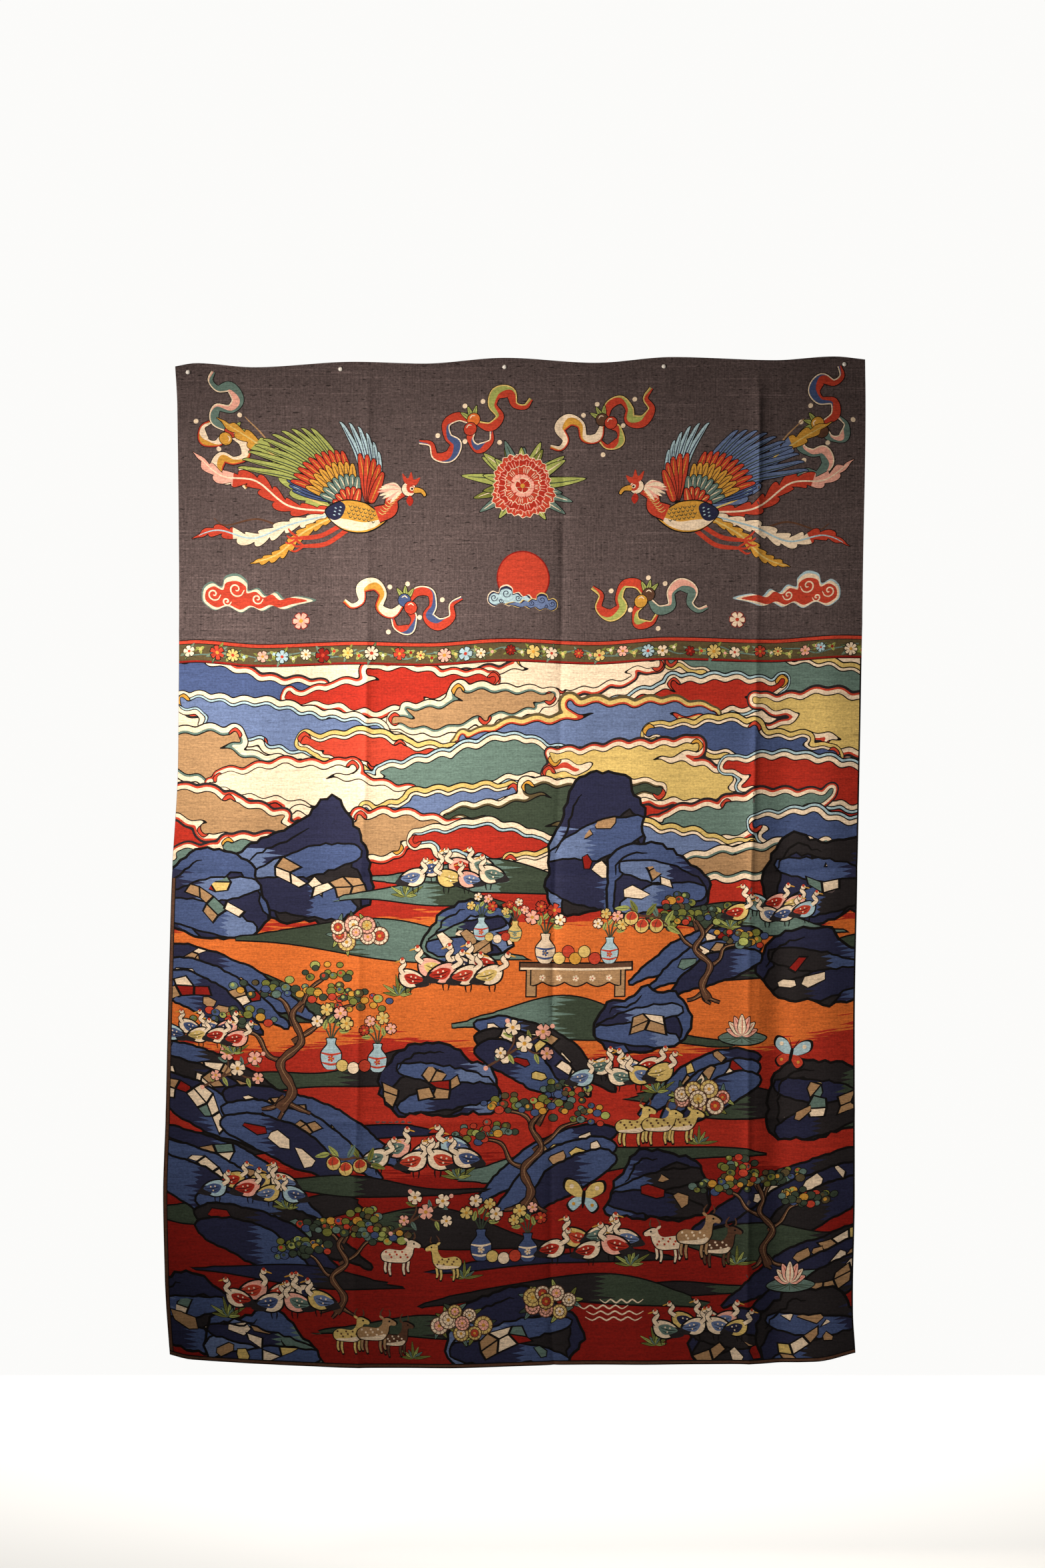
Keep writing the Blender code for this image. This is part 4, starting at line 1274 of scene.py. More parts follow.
CLOUDS = (
    # x, y, width, height, fill, rings, arms
    (1180, 606, 600, 104, "teal", "gold", 2),
    (700, 598, 520, 84, "cream", "night", 2),
    (90, 612, 520, 110, "blue", "night", 2),
    (410, 616, 460, 84, "red", "cream", 2),
    (960, 648, 480, 90, "red", "red", 2),
    (560, 654, 380, 64, "tan", "teal", 2),
    (1270, 690, 420, 110, "straw", "night", 3),
    (220, 688, 520, 104, "sky_blue", "blue", 2),
    (780, 700, 560, 110, "sky_blue", "olive", 3),
    (1080, 722, 420, 84, "blue", "gold", 2),
    (400, 736, 420, 70, "coral", "gold", 2),
    (50, 752, 440, 110, "tan", "teal", 2),
    (560, 766, 520, 110, "teal", "red", 2),
    (920, 782, 480, 110, "straw", "night", 3),
    (1230, 800, 440, 110, "red", "red", 2),
    (280, 806, 480, 104, "cream", "cream", 3),
    (500, 838, 360, 64, "sky_blue", "gold", 2),
    (720, 846, 460, 104, "pine", "tan", 3),
    (90, 852, 420, 96, "tan", "night", 2),
    (1060, 862, 440, 90, "teal", "night", 2),
    (360, 892, 460, 96, "tan", "cream", 2),
    (620, 912, 420, 76, "red", "blue", 2),
    (920, 910, 420, 76, "sky_blue", "gold", 2),
    (1250, 900, 380, 90, "blue", "red", 2),
    (150, 930, 400, 76, "teal", "night", 2),
    (1090, 944, 360, 60, "tan", "teal", 2),
    (780, 956, 360, 54, "cream", "gold", 2),
)


def sky():
    band(SKY_TOP, 960, "cream")
    zone(800, 24, (120, 57, 31), 0.6, "red", 8)
    for k, (x, y, wide, tall, fill, rings, arms) in enumerate(CLOUDS):
        cloud(x, y, wide, tall, fill, RINGS[rings], k * 7 + 3, arms)


# The ground from back to front: each row is one thing, with its place and its foot. On the right-hand side
# the rocks and folds take the darker kinds, partly as painted shade over that side.
GROUND = (
    ("slope", 640, 990, 560, 50, "pine", "teal"),
    ("rock", 800, 1015, 230, 250, "navy", 0.06),
    ("rock", 930, 1030, 200, 140, "blue", -0.12),
    ("rock", 1245, 1040, 240, 160, "dark", -0.12),
    ("rock", 245, 1030, 260, 200, "navy", 0.12),
    ("rock", 70, 1070, 230, 160, "blue", 0.1),
    ("slope", 470, 1016, 330, 34, "teal", "pine"),
    ("slope", 1080, 1072, 420, 46, "teal", "pine"),
    ("slope", 400, 1106, 560, 60, "pine", "teal"),
    ("rock", 560, 1118, 180, 110, "pale", 0.1),
    ("slope", 1150, 1146, 480, 74, "pine", "charcoal"),
    ("rock", 1225, 1204, 220, 150, "shade", -0.1),
    ("fold", 1130, 1124, 190, 80, 44, "navy", 1),
    ("slope", 120, 1214, 440, 74, "pine", "charcoal"),
    ("fold", -50, 1176, 240, 96, 54, "navy", 0),
    ("slope", 800, 1270, 540, 66, "pine", "teal"),
    ("rock", 890, 1284, 200, 110, "blue", 0.1),
    ("slope", 340, 1352, 520, 64, "charcoal", "pine"),
    ("rock", 530, 1398, 230, 130, "navy", -0.12),
    ("fold", 570, 1294, 200, 110, 48, "blue", 0),
    ("slope", 1110, 1404, 480, 64, "pine", "charcoal"),
    ("rock", 1240, 1456, 220, 160, "night", -0.1),
    ("fold", 1130, 1352, 170, 100, 44, "navy", 1),
    ("slope", 250, 1476, 520, 74, "charcoal", "navy"),
    ("fold", -60, 1372, 250, 120, 62, "blue", 0),
    ("fold", 96, 1436, 270, 120, 56, "navy", 0),
    ("slope", 840, 1520, 580, 70, "pine", "teal"),
    ("rock", 930, 1604, 220, 130, "shade", 0.1),
    ("fold", 860, 1500, 200, 120, 50, "navy", 1),
    ("fold", 1350, 1576, 260, 100, 56, "night", 1),
    ("slope", 540, 1650, 480, 62, "pine", "charcoal"),
    ("slope", 1180, 1668, 440, 70, "charcoal", "pine"),
    ("slope", 180, 1612, 420, 60, "charcoal", "pine"),
    ("fold", -60, 1530, 260, 120, 62, "navy", 0),
    ("fold", 50, 1636, 250, 100, 54, "blue", 0),
    ("slope", 400, 1556, 420, 34, "charcoal", "pine"),
    ("slope", 730, 1700, 460, 30, "charcoal", "navy"),
    ("slope", 1060, 1750, 420, 34, "pine", "charcoal"),
    ("slope", 250, 1728, 380, 32, "charcoal", "navy"),
    ("slope", 470, 1830, 380, 34, "pine", "charcoal"),
    ("slope", 760, 1772, 540, 50, "pine", "charcoal"),
    ("fold", 1370, 1720, 230, 100, 56, "night", 1),
    ("rock", 20, 1862, 220, 150, "navy", 0.12),
    ("rock", 180, 1894, 250, 120, "pale", -0.1),
    ("rock", 650, 1886, 280, 140, "navy", 0.1),
    ("rock", 1090, 1896, 220, 110, "shade", -0.1),
    ("rock", 1240, 1892, 250, 150, "dark", -0.1),
)
# night, the darkest, is used only on the right-hand side: partly the folds' own colour, partly painted shade
# that darkens that side.
FOLD_THREADS = {
    "night": ("charcoal", "navy", "navy"),
    "navy": ("navy", "blue", "blue"),
    "blue": ("blue", "charcoal", "navy"),
}


def ground():
    for k, (kind, x, y, wide, tall, *rest) in enumerate(GROUND):
        if kind == "slope":
            thread, second = rest
            slope(x, y, wide, tall, thread, k + 5, second)
        elif kind == "rock":
            rock(x, y, wide, tall, k + 31, *rest)
        else:
            width, threads, flip = rest
            fold(x, y, wide, tall, width, FOLD_THREADS[threads], k + 11, flip)


SMALL_THINGS_SCALE = 1.14
SMALL_THINGS = (
    # what, x, foot, size or width, seed
    (cranes, 520, 1000, 1.0, 31),
    (cranes, 1130, 1066, 0.9, 33),
    (cranes, 520, 1186, 1.1, 1),
    (flowers, 352, 1072, 0.9, 2),
    (jars, 352, 1330, 1.1, 3),
    (fruits, 905, 1052, 1.0, 4),
    (lotus, 1086, 1262, 1.0),
    (spray, 660, 1300, 1.1, 6),
    (cranes, 850, 1376, 1.05, 7),
    (flowers, 1004, 1392, 0.9, 8),
    (cranes, 470, 1530, 1.15, 9),
    (fruits, 350, 1500, 1.0, 10),
    (herd, 940, 1474, 1.0, 35),
    (jars, 640, 1690, 1.1, 11),
    (cranes, 800, 1700, 1.1, 12),
    (flowers, 720, 1770, 0.95, 13),
    (spray, 480, 1610, 1.0, 14),
    (butterfly, 790, 1574, 1.1, 15),
    (butterfly, 1180, 1310, 1.0, 16),
    (lotus, 1180, 1730, 1.0),
    (ripples, 850, 1770, 190, 18),
    (herd, 500, 1720, 1.0, 22),
    (flowers, 560, 1806, 0.9, 20),
    (herd, 1010, 1700, 1.05, 21),
    (spray, 120, 1345, 1.0, 22),
    (cranes, 200, 1800, 1.1, 37),
    (jars, 620, 1090, 0.8, 39),
    (cranes, 160, 1590, 1.0, 41),
    (cranes, 1000, 1850, 1.0, 43),
    (cranes, 60, 1300, 0.9, 45),
    (herd, 400, 1870, 0.95, 47),
)


def small_things():
    for draw, x, y, size, *seed in SMALL_THINGS:
        draw(x, y, size if draw is ripples else size * SMALL_THINGS_SCALE, *seed)


def cloth_edges():
    """The turned edges, where the cloth's plain sides show: a brown edge between dark lines at the left and
    at the bottom, and a dark line at the right. The dark lines are painted shadow along the edges.
    """
    # the ink lines here are painted shadow along the cloth's edges; the brown ones are the turned edge
    post(0.4, 8.0, "ink", 980, TALL - 0.4)
    post(1.6, 6.6, "brown", 980, TALL - 0.4)
    post(WIDE - 3.2, WIDE - 0.4, "ink", SKY_TOP, TALL - 0.4)
    band(TALL - 8.5, TALL - 0.4, "ink", LINE_LIFT)
    band(TALL - 6.6, TALL - 2.2, "brown", LINE_LIFT)


def build():
    sky()
    border()
    top_band()
    zone(1066, 16, (170, 61), 1.3, "orange", 2)
    zone(1300, 18, (150, 71), 2.3, "red", 3)
    zone(1520, 16, (190, 61), 0.3, "deep_red", 5)
    ground()
    tree(230, 1400, 300, 3)
    tree(1010, 1200, 210, 5, True)
    tree(690, 1590, 260, 8)
    tree(1130, 1700, 220, 9, True)
    tree(330, 1780, 210, 12)
    stand(770, 1196, 210, 62)
    small_things()
    cloth_edges()
# How near a crease the lattice is fine, the size of a search cell, and the bare rim round the threads, in mm.
NEAR_CREASE, CELL, RIM = 22.0, 16.0, 0.4
# Steps of the threads' lattice and of the cloth's, in mm: fine ones near the creases, and coarse ones.
FINE_ACROSS, FINE_DOWN, COARSE_ACROSS, COARSE_DOWN, COARSE_CLOTH = 2.2, 3.2, 12.0, 14.0, 10.0
# The strips along the edges, in mm, that have fine steps too: at the sides, and at the top and the bottom.
ENDS_ACROSS, ENDS_DOWN, CLOTH_ENDS_DOWN = 12.0, 24.0, 26.0
# Outlines may move this far where points are dropped, and leave no edge longer than this, in mm.
THIN_TOLERANCE, THIN_LONGEST, THIN_ROUNDS = 0.16, 9.0, 5
# Edges nearer than this to a fold line are cut to this length, in mm.
SPLIT_NEAR, SPLIT_LONGEST = 14.0, 2.6
# How far a patch's sides go below a lower patch, and below the bare cloth, in mm.
SUNK, SUNK_AT_BARE = 0.05, 0.10
# How far back the cloth's face lies under the patches, over how many mm it gets there, and the hems, in mm.
FACE_BACK, FACE_FALL, SIDE_HEM, TOP_HEM, HEM_FALL = 0.30, 6.0, 9.0, 22.0, 2.0
# In metres.
CLOTH_THICKNESS = 0.0012
NAMES = list(THREADS)


def linear(rgb):
    """A Blender colour from sRGB values of 0 to 255."""
    shares = [c / 255 for c in rgb]
    return (*(s / 12.92 if s <= 0.04045 else ((s + 0.055) / 1.055) ** 2.4 for s in shares), 1.0)


def grid_places(length, coarse, fine, creases, ends):
    """Places along one side of the flat cloth: coarse steps, with fine ones near each crease and hem."""
    out = [0.0]
    while out[-1] < length:
        here = out[-1]
        close = any(abs(here - c) < NEAR_CREASE for c in creases) or min(here, length - here) < ends
        out.append(min(length, here + (fine if close else coarse)))
    if out[-1] - out[-2] < fine / 2:
        del out[-2]
    return np.array(out)


def inside_of(points, outline):
    """Which points lie inside an outline, by how often it winds round them."""
    by_height = np.argsort(points[:, 1])
    x, y = points[by_height].T
    ax, ay = outline.T
    bx, by = np.roll(ax, -1), np.roll(ay, -1)
    rises = by > ay
    first = np.searchsorted(y, np.minimum(ay, by))
    count = np.searchsorted(y, np.maximum(ay, by)) - first
    edge = np.repeat(np.arange(len(ax)), count)
    place = np.arange(len(edge)) - np.repeat(np.cumsum(count) - count, count) + first[edge]
    share = (y[place] - ay[edge]) / (by - ay)[edge]
    passed = ax[edge] + share * (bx - ax)[edge] > x[place]
    turns = np.bincount(place[passed], np.where(rises[edge[passed]], 1.0, -1.0), len(x))
    inside = np.zeros(len(points), bool)
    inside[by_height] = np.abs(turns) > 0.5
    return inside


def owners(middles):
    """The number of the topmost patch over each of many places, or -1."""
    columns = int(WIDE / CELL) + 2
    rows = int(TALL / CELL) + 2
    cell = (middles[:, 1] / CELL).astype(int) * columns + (middles[:, 0] / CELL).astype(int)
    order = np.argsort(cell, kind="stable")
    starts = np.searchsorted(cell[order], np.arange(columns * rows + 1))
    owner = np.full(len(middles), -1)
    mask = np.zeros(len(middles), bool)
    wanted = {inside for *_, inside in shapes if inside is not None}
    members = {}
    for k, (outline, _, _, inside) in enumerate(shapes):
        low, high = (np.clip(end, 0, (WIDE, TALL)) for end in (outline.min(0), outline.max(0)))
        (c0, r0), (c1, r1) = ((end / CELL).astype(int) for end in (low, high))
        ends = [(starts[r * columns + c0], starts[r * columns + c1 + 1]) for r in range(r0, r1 + 1)]
        found = np.concatenate([order[start:stop] for start, stop in ends])
        found = found[((middles[found] > low) & (middles[found] < high)).all(1)]
        if inside is not None:
            mask[members[inside]] = True
            kept = found[mask[found]]
            mask[members[inside]] = False
            found = kept
        if len(found):
            found = found[inside_of(middles[found], outline)]
        if k in wanted:
            members[k] = found
        owner[found] = k
    return owner


def shared_edges(triangles, count):
    """Every edge of a map's triangles, and the pairs of sides that meet there."""
    sides = np.concatenate([triangles[:, (0, 1)], triangles[:, (1, 2)], triangles[:, (2, 0)]])
    key = sides.min(1).astype(np.int64) * count + sides.max(1)
    order = np.argsort(key, kind="stable")
    same = key[order][:-1] == key[order][1:]
    return sides, order[:-1][same], order[1:][same]


def thinned(points, edges):
    """Drops points along chains of edges where the chain hardly bends there."""
    for _ in range(THIN_ROUNDS):
        count = np.bincount(edges.ravel(), minlength=len(points))
        ends = np.concatenate([edges, edges[:, ::-1]])
        ends = ends[np.argsort(ends[:, 0], kind="stable")]
        first = np.searchsorted(ends[:, 0], np.arange(len(points)))
        middle = np.nonzero(count == 2)[0]
        a, b = ends[first[middle], 1], ends[first[middle] + 1, 1]
        chord, off = points[b] - points[a], points[middle] - points[a]
        long = np.hypot(*chord.T)
        away = np.abs(chord[:, 0] * off[:, 1] - chord[:, 1] * off[:, 0]) / np.maximum(long, 1e-9)
        good = (away < THIN_TOLERANCE) & (long < THIN_LONGEST) & (a != b)
        rank = np.full(len(points), -1.0)
        rank[middle[good]] = (middle[good] * 2654435761 % 1000003) + 1.0
        drop = good & (rank[middle] > rank[a]) & (rank[middle] > rank[b])
        gone = np.zeros(len(points), bool)
        gone[middle[drop]] = True
        kept = edges[~(gone[edges[:, 0]] | gone[edges[:, 1]])]
        edges = np.concatenate([kept, np.column_stack([a[drop], b[drop]])])
    return edges


def split_near_creases(points, edges):
    """Cuts the edges that cross a fold line into short ones, so that they bend with the cloth."""
    one, other = points[edges[:, 0]], points[edges[:, 1]]
    middle, half = (one + other) / 2, np.abs(other - one) / 2
    close = np.zeros(len(edges), bool)
    for lines, axis, size in ((CREASES_DOWN, 0, WIDE), (CREASES_ACROSS, 1, TALL)):
        for place, *_ in lines:
            close |= np.abs(middle[:, axis] - place * size) < SPLIT_NEAR + half[:, axis]
    parts = np.where(close, np.ceil(np.hypot(*(other - one).T) / SPLIT_LONGEST), 1).astype(int)
    places, chains = points.tolist(), edges[parts == 1].tolist()
    for i in np.nonzero(parts > 1)[0]:
        between = [one[i] + (other[i] - one[i]) * k / parts[i] for k in range(1, parts[i])]
        chain = [edges[i, 0], *range(len(places), len(places) + len(between)), edges[i, 1]]
        places += [p.tolist() for p in between]
        chains += list(zip(chain, chain[1:]))
    return places, [(int(a), int(b)) for a, b in chains]


def cut_map(places, edges):
    """A flat map of triangles through places and along edges, and the topmost patch over each triangle."""
    out = delaunay_2d_cdt([Vector(p) for p in places], edges, [], 0, 1e-3)
    points = np.array([(p.x, p.y) for p in out[0]])
    triangles = np.array(out[2])
    return points, triangles, owners(points[triangles].mean(1))


def map_of_threads():
    """Cuts every patch against the others, and returns the map's points, triangles and each one's owner."""
    places, edges = [], []
    for outline, *_ in shapes:
        first, n = len(places), len(outline)
        places += np.clip(outline, (RIM, RIM), (WIDE - RIM, TALL - RIM)).tolist()
        edges += [(first + i, first + (i + 1) % n) for i in range(n)]
    points, triangles, owner = cut_map(places, edges)
    kinds = np.array([NAMES.index(s[1]) * 10 + round(s[2] * 10) for s in shapes] + [-1])[owner]
    sides, one, other = shared_edges(triangles, len(points))
    whose = np.tile(np.arange(len(triangles)), 3)
    seen = kinds[whose[one]] != kinds[whose[other]]
    used, edges = np.unique(thinned(points, sides[one[seen]]), return_inverse=True)
    places, edges = split_near_creases(points[used], edges.reshape(-1, 2))
    down, across = [u * WIDE for u, *_ in CREASES_DOWN], [v * TALL for v, *_ in CREASES_ACROSS]
    xs = grid_places(WIDE - 2 * RIM, COARSE_ACROSS, FINE_ACROSS, down, ENDS_ACROSS) + RIM
    ys = grid_places(TALL - 2 * RIM, COARSE_DOWN, FINE_DOWN, across, ENDS_DOWN) + RIM
    return cut_map(places + [(x, y) for x in xs for y in ys], edges)


def mesh_object(name, points, faces):
    """A smooth mesh from points and from faces with equal numbers of corners."""
    mesh = bpy.data.meshes.new(name)
    mesh.vertices.add(len(points))
    mesh.vertices.foreach_set("co", np.asarray(points, np.float32).ravel())
    mesh.loops.add(faces.size)
    mesh.loops.foreach_set("vertex_index", faces.ravel().astype(np.int32))
    mesh.polygons.add(len(faces))
    mesh.polygons.foreach_set("loop_start", np.arange(len(faces), dtype=np.int32) * faces.shape[1])
    mesh.update(calc_edges=True)
    mesh.validate()
    mesh.shade_smooth()
    obj = bpy.data.objects.new(name, mesh)
    bpy.context.scene.collection.objects.link(obj)
    return obj


def thread_pieces():
    """One piece for each thread colour: its patches at their lifts, with flanks down to lower neighbours."""
    points, triangles, owner = map_of_threads()
    lift = np.array([s[2] for s in shapes] + [0.0])[owner]
    colour = np.array([NAMES.index(s[1]) for s in shapes] + [-1])[owner]
    a, b, c = points[triangles].transpose(1, 0, 2)
    turned_over = (b - a)[:, 0] * (c - a)[:, 1] - (b - a)[:, 1] * (c - a)[:, 0] > 0
    triangles[turned_over] = triangles[turned_over][:, ::-1]
    sides, one, other = shared_edges(triangles, len(points))
    whose = np.tile(np.arange(len(triangles)), 3)
    high, low = np.concatenate([one, other]), np.concatenate([other, one])
    step = lift[whose[high]] - lift[whose[low]] > 0.01
    high, low = high[step], low[step]
    flanks = np.column_stack([sides[high], lift[whose[high]], lift[whose[low]]])
    flank_colour = colour[whose[high]]
    pieces = {}
    for index, name in enumerate(NAMES):
        mine = colour == index
        corners = triangles[mine]
        levels = np.repeat(lift[mine][:, None], 3, 1)
        quads = flanks[flank_colour == index]
        sunk = np.where(quads[:, 3] > 0, quads[:, 3], -SUNK_AT_BARE) - SUNK
        ends = quads[:, :2].astype(int)
        corner_ids = np.concatenate([corners.ravel(), ends[:, 0], ends[:, 1], ends[:, 1], ends[:, 0]])
        corner_lifts = np.concatenate([levels.ravel(), quads[:, 2], quads[:, 2], sunk, sunk])
        code = corner_ids * 1000 + np.round((corner_lifts + 1) * 100).astype(int)
        _, first, inverse = np.unique(code, return_index=True, return_inverse=True)
        ids, ups = corner_ids[first], corner_lifts[first]
        co = lay(points[ids, 0], points[ids, 1], ups)
        n, m = len(corners) * 3, len(quads)
        tops = inverse[:n].reshape(-1, 3)
        q = inverse[n:].reshape(4, m).T
        obj = mesh_object("silk_" + name, co, np.concatenate([tops, q[:, (1, 0, 3)], q[:, (1, 3, 2)]]))
        uv = obj.data.uv_layers.new(name="OFBake")
        flat = np.stack([points[ids, 0] / TALL, 1 - points[ids, 1] / TALL], 1)
        loop_vertices = np.zeros(len(obj.data.loops), np.int32)
        obj.data.loops.foreach_get("vertex_index", loop_vertices)
        uv.data.foreach_set("uv", flat[loop_vertices].astype(np.float32).ravel())
        obj.data.set_sharp_from_angle(angle=math.radians(35))
        pieces[name] = obj
    return pieces


def ground_cloth():
    """The cloth itself: a closed thin sheet, thicker at its hems."""
    xs = grid_places(WIDE, COARSE_CLOTH, FINE_ACROSS, [u * WIDE for u, *_ in CREASES_DOWN], ENDS_ACROSS)
    ys = grid_places(TALL, COARSE_CLOTH, FINE_DOWN, [v * TALL for v, *_ in CREASES_ACROSS], CLOTH_ENDS_DOWN)
    gx, gy = np.meshgrid(xs, ys)
    covered = ease((gy - BORDER_TOP) / FACE_FALL)
    front = lay(gx, gy, -FACE_BACK * covered)
    from_side = np.minimum(gx, WIDE - gx)
    hem = np.maximum(ease((SIDE_HEM - from_side) / HEM_FALL), ease((SIDE_HEM - (TALL - gy)) / HEM_FALL))
    hem = np.maximum(hem, ease((TOP_HEM - gy) / HEM_FALL))
    back = lay(gx, gy, 0.0)
    back[..., 1] += CLOTH_THICKNESS + CLOTH_THICKNESS * hem
    rows, cols = gx.shape
    n = rows * cols
    number = np.arange(n).reshape(rows, cols)
    quad = np.stack([number[:-1, :-1], number[1:, :-1], number[1:, 1:], number[:-1, 1:]], -1).reshape(-1, 4)
    around = np.concatenate([number[0, :-1], number[:-1, -1], number[-1, :0:-1], number[:0:-1, 0]])
    nxt = np.roll(around, -1)
    rim = np.stack([around, nxt, nxt + n, around + n], 1)
    faces = np.concatenate([quad, quad[:, ::-1] + n, rim])
    cloth = mesh_object("panel_cloth", np.concatenate([front.reshape(-1, 3), back.reshape(-1, 3)]), faces)
    cloth.data.set_sharp_from_angle(angle=math.radians(50))
    return cloth


def node(tree, kind, settings=None, **inputs):
    """Adds a shader node, sets its options and its input values, and links inputs that are sockets."""
    made = tree.nodes.new(kind)
    for name, value in (settings or {}).items():
        setattr(made, name, value)
    for name, value in inputs.items():
        numbered = name[0] == "i" and name[1:].isdigit()
        socket = made.inputs[int(name[1:]) if numbered else name.replace("_", " ")]
        if isinstance(value, bpy.types.NodeSocket):
            tree.links.new(value, socket)
        else:
            socket.default_value = value
    return made


def noise(tree, places, scale, detail, roughness):
    """Noise stretched along the threads."""
    stretched = node(tree, "ShaderNodeMapping", Vector=places, Scale=scale).outputs[0]
    made = node(tree, "ShaderNodeTexNoise", Vector=stretched, Scale=1.0, Detail=detail, Roughness=roughness)
    return made.outputs["Fac"]


def ranged(tree, value, low, high, to_low, to_high):
    limits = {"From_Min": low, "From_Max": high, "To_Min": to_low, "To_Max": to_high}
    return node(tree, "ShaderNodeMapRange", Value=value, **limits).outputs[0]


SHADES = {
    # scale across and down, detail, roughness, low and high noise, and for each of those two the shade and
    # what an open weave adds to it
    "wefts": (52.0, 560.0, 2.0, 0.6, 0.3, 0.7, (0.80, 0), (1.18, 0)),
    "broad": (7.0, 150.0, 2.0, 0.5, 0.3, 0.7, (0.90, 0), (1.10, 0)),
    "slubs": (55.0, 300.0, 1.0, 0.5, 0.62, 0.75, (1, 0), (0.70, 0)),
    "warps": (640.0, 16.0, 1.0, 0.5, 0.3, 0.7, (1, -0.22), (1, 0.22)),
    "specks": (240.0, 330.0, 1.0, 0.5, 0.70, 0.78, (1, 0), (1, -0.55)),
    "grain": (210.0, 250.0, 3.0, 0.8, 0.3, 0.7, (0.70, -0.22), (1.28, 0.30)),
    "fade": (3.1, 2.3, 4.0, 0.55, 0.3, 0.7, (0.88, 0), (1.10, 0)),
    "knots": (62.0, 270.0, 1.0, 0.5, 0.672, 0.70, (1, 0), (1, -0.70)),
    "pale": (5.0, 330.0, 1.0, 0.5, 0.60, 0.74, (1, 0), (1, 0.60)),
}


def silk(name, rgb, open_weave=0.0):
    """Woven silk in one colour: streaky wefts, slubs, faded and soiled places, and a fine ribbed weave."""
    made = bpy.data.materials.new(name)
    made.use_nodes = True
    tree = made.node_tree
    shader = tree.nodes["Principled BSDF"]
    places = node(tree, "ShaderNodeTexCoord").outputs["Object"]
    noises, shades = {}, []
    for kind, (across, down, detail, rough, low, high, *ends) in SHADES.items():
        noises[kind] = noise(tree, places, (across, 1.0, down), detail, rough)
        at_low, at_high = (shade + opened * open_weave for shade, opened in ends)
        shades.append(ranged(tree, noises[kind], low, high, at_low, at_high))
    wefts = noises["wefts"]
    total = shades[0]
    for other in shades[1:]:
        total = node(tree, "ShaderNodeMath", {"operation": "MULTIPLY"}, i0=total, i1=other).outputs[0]
    tinted = node(tree, "ShaderNodeVectorMath", {"operation": "SCALE"}, i0=linear(rgb)[:3], Scale=total)
    tree.links.new(tinted.outputs[0], shader.inputs["Base Color"])
    # the ribbed weave: wefts 1 mm apart beaten over warps
    ribs = node(tree, "ShaderNodeTexWave", {"bands_direction": "Z"}, Vector=places, Scale=160.0,
                Distortion=1.2, Detail=2.0, Detail_Scale=1.2).outputs["Fac"]
    cords = node(tree, "ShaderNodeTexWave", {"bands_direction": "X"}, Vector=places, Scale=190.0,
                 Distortion=0.8, Detail=1.0).outputs["Fac"]
    weave = node(tree, "ShaderNodeMath", {"operation": "MULTIPLY"}, i0=ribs, i1=cords).outputs[0]
    height = node(tree, "ShaderNodeMath", {"operation": "ADD"}, i0=weave, i1=wefts).outputs[0]
    bump = node(tree, "ShaderNodeBump", Height=height, Strength=0.45 + 0.2 * open_weave, Distance=0.0006)
    tree.links.new(bump.outputs[0], shader.inputs["Normal"])
    tree.links.new(ranged(tree, wefts, 0.2, 0.8, 0.62, 0.82), shader.inputs["Roughness"])
    for socket, value in (("Sheen Weight", 0.03), ("Sheen Roughness", 0.4), ("Specular IOR Level", 0.12)):
        shader.inputs[socket].default_value = value
    return made


# The floor's height, the camera's distance, and the height and centre of its frame at the panel, in metres.
FLOOR_Z, CAMERA_DISTANCE, FRAME_HEIGHT = -2.32, 7.0, 2.963
FRAME_CENTRE_X, FRAME_CENTRE_Z = 0.034, -0.7875


def enamel():
    """The pins' white enamel, with faint finger marks."""
    made = bpy.data.materials.new("pin_enamel_white")
    made.use_nodes = True
    tree = made.node_tree
    shader = tree.nodes["Principled BSDF"]
    places = node(tree, "ShaderNodeTexCoord").outputs["Object"]
    marks = node(tree, "ShaderNodeTexNoise", Vector=places, Scale=900.0, Detail=3.0).outputs["Fac"]
    whites = {"i6": linear((255, 252, 246)), "i7": linear((243, 238, 230))}
    pale = node(tree, "ShaderNodeMix", {"data_type": "RGBA"}, Factor=marks, **whites)
    tree.links.new(pale.outputs[2], shader.inputs["Base Color"])
    tree.links.new(ranged(tree, marks, 0.0, 1.0, 0.18, 0.38), shader.inputs["Roughness"])
    return made


def stage():
    """A plain pale floor well below the panel."""
    corners = [(x, y, FLOOR_Z) for x, y in ((-3.2, -3.4), (3.2, -3.4), (3.2, 2.6), (-3.2, 2.6))]
    floor = mesh_object("floor", corners, np.array([(0, 1, 2, 3)]))
    made = bpy.data.materials.new("floor_pale")
    made.use_nodes = True
    shader = made.node_tree.nodes["Principled BSDF"]
    shader.inputs["Base Color"].default_value = linear((236, 234, 230))
    shader.inputs["Roughness"].default_value = 0.8
    floor.data.materials.append(made)


def light(name, place, target, size, power, colour, spread=180):
    lamp = bpy.data.lights.new(name, "AREA")
    lamp.shape = "RECTANGLE"
    lamp.size, lamp.size_y = size
    lamp.energy = power
    lamp.color = colour
    lamp.spread = math.radians(spread)
    obj = bpy.data.objects.new(name, lamp)
    obj.location = place
    obj.rotation_euler = (Vector(target) - Vector(place)).to_track_quat("-Z", "Y").to_euler()
    obj.visible_camera = False
    bpy.context.scene.collection.objects.link(obj)


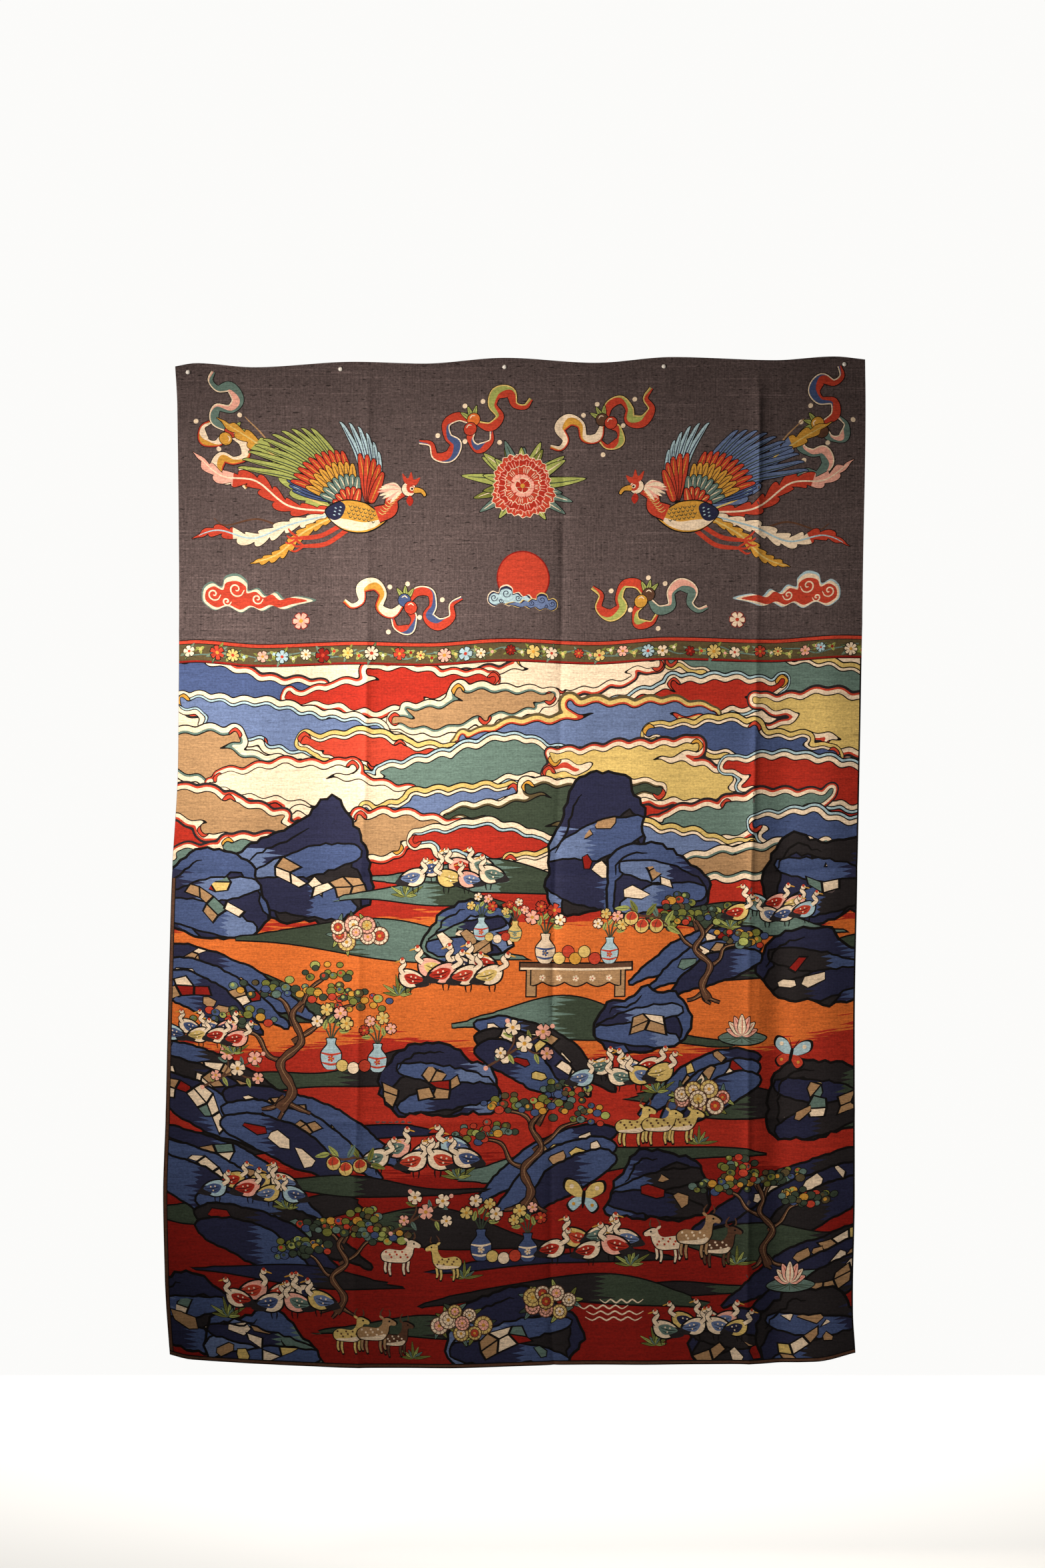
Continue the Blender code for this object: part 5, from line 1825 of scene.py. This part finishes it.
def lights():
    """A warm key from the upper left that falls off over the cloth, a low fill, and a pale surround."""
    light("key", (-1.3, -1.5, -0.1), (-0.06, 0.0, -0.76), (0.6, 0.6), 11.5, (1.0, 0.90, 0.79), 62)
    light("fill", (-1.6, -5.2, 1.0), (0.0, 0.0, -0.9), (2.4, 2.4), 4, (1.0, 0.87, 0.76))
    light("back", (0.0, 2.6, 1.2), (0.0, 1.2, FLOOR_Z), (3.0, 3.0), 260, (1.0, 0.99, 0.97))
    world = bpy.data.worlds.new("studio")
    world.use_nodes = True
    tree = world.node_tree
    seen = tree.nodes["Background"]
    seen.inputs["Color"].default_value = (0.97, 0.965, 0.95, 1.0)
    seen.inputs["Strength"].default_value = 1.0
    around = node(tree, "ShaderNodeBackground", Color=(1.0, 0.86, 0.76, 1.0), Strength=0.022)
    is_seen = node(tree, "ShaderNodeLightPath").outputs["Is Camera Ray"]
    mixed = node(tree, "ShaderNodeMixShader", i0=is_seen, i1=around.outputs[0], i2=seen.outputs[0])
    tree.links.new(mixed.outputs[0], tree.nodes["World Output"].inputs["Surface"])
    bpy.context.scene.world = world
    bpy.context.scene.view_settings.view_transform = "Standard"


def camera():
    """Straight in front, at the photograph's framing."""
    lens = bpy.data.cameras.new("camera")
    lens.sensor_fit = "VERTICAL"
    lens.sensor_height = 36.0
    lens.lens = 36.0 * CAMERA_DISTANCE / FRAME_HEIGHT
    obj = bpy.data.objects.new("camera", lens)
    obj.location = (FRAME_CENTRE_X, -CAMERA_DISTANCE, FRAME_CENTRE_Z)
    obj.rotation_euler = (math.pi / 2, 0, 0)
    bpy.context.scene.collection.objects.link(obj)
    bpy.context.scene.camera = obj


def main():
    camera()
    build()
    cloth = ground_cloth()
    cloth.data.materials.append(silk("slate_silk", (86, 74, 74), open_weave=1.0))
    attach(cloth, "root")
    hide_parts("silk_panel")
    pieces = thread_pieces()
    for name, obj in pieces.items():
        obj.data.materials.append(silk("thread_" + name, THREADS[name]))
        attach(obj, "root")
    white = enamel()
    for name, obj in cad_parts.items():
        if name.startswith("pin_"):
            obj.data.materials.clear()
            obj.data.materials.append(white)
    stage()
    lights()


main()
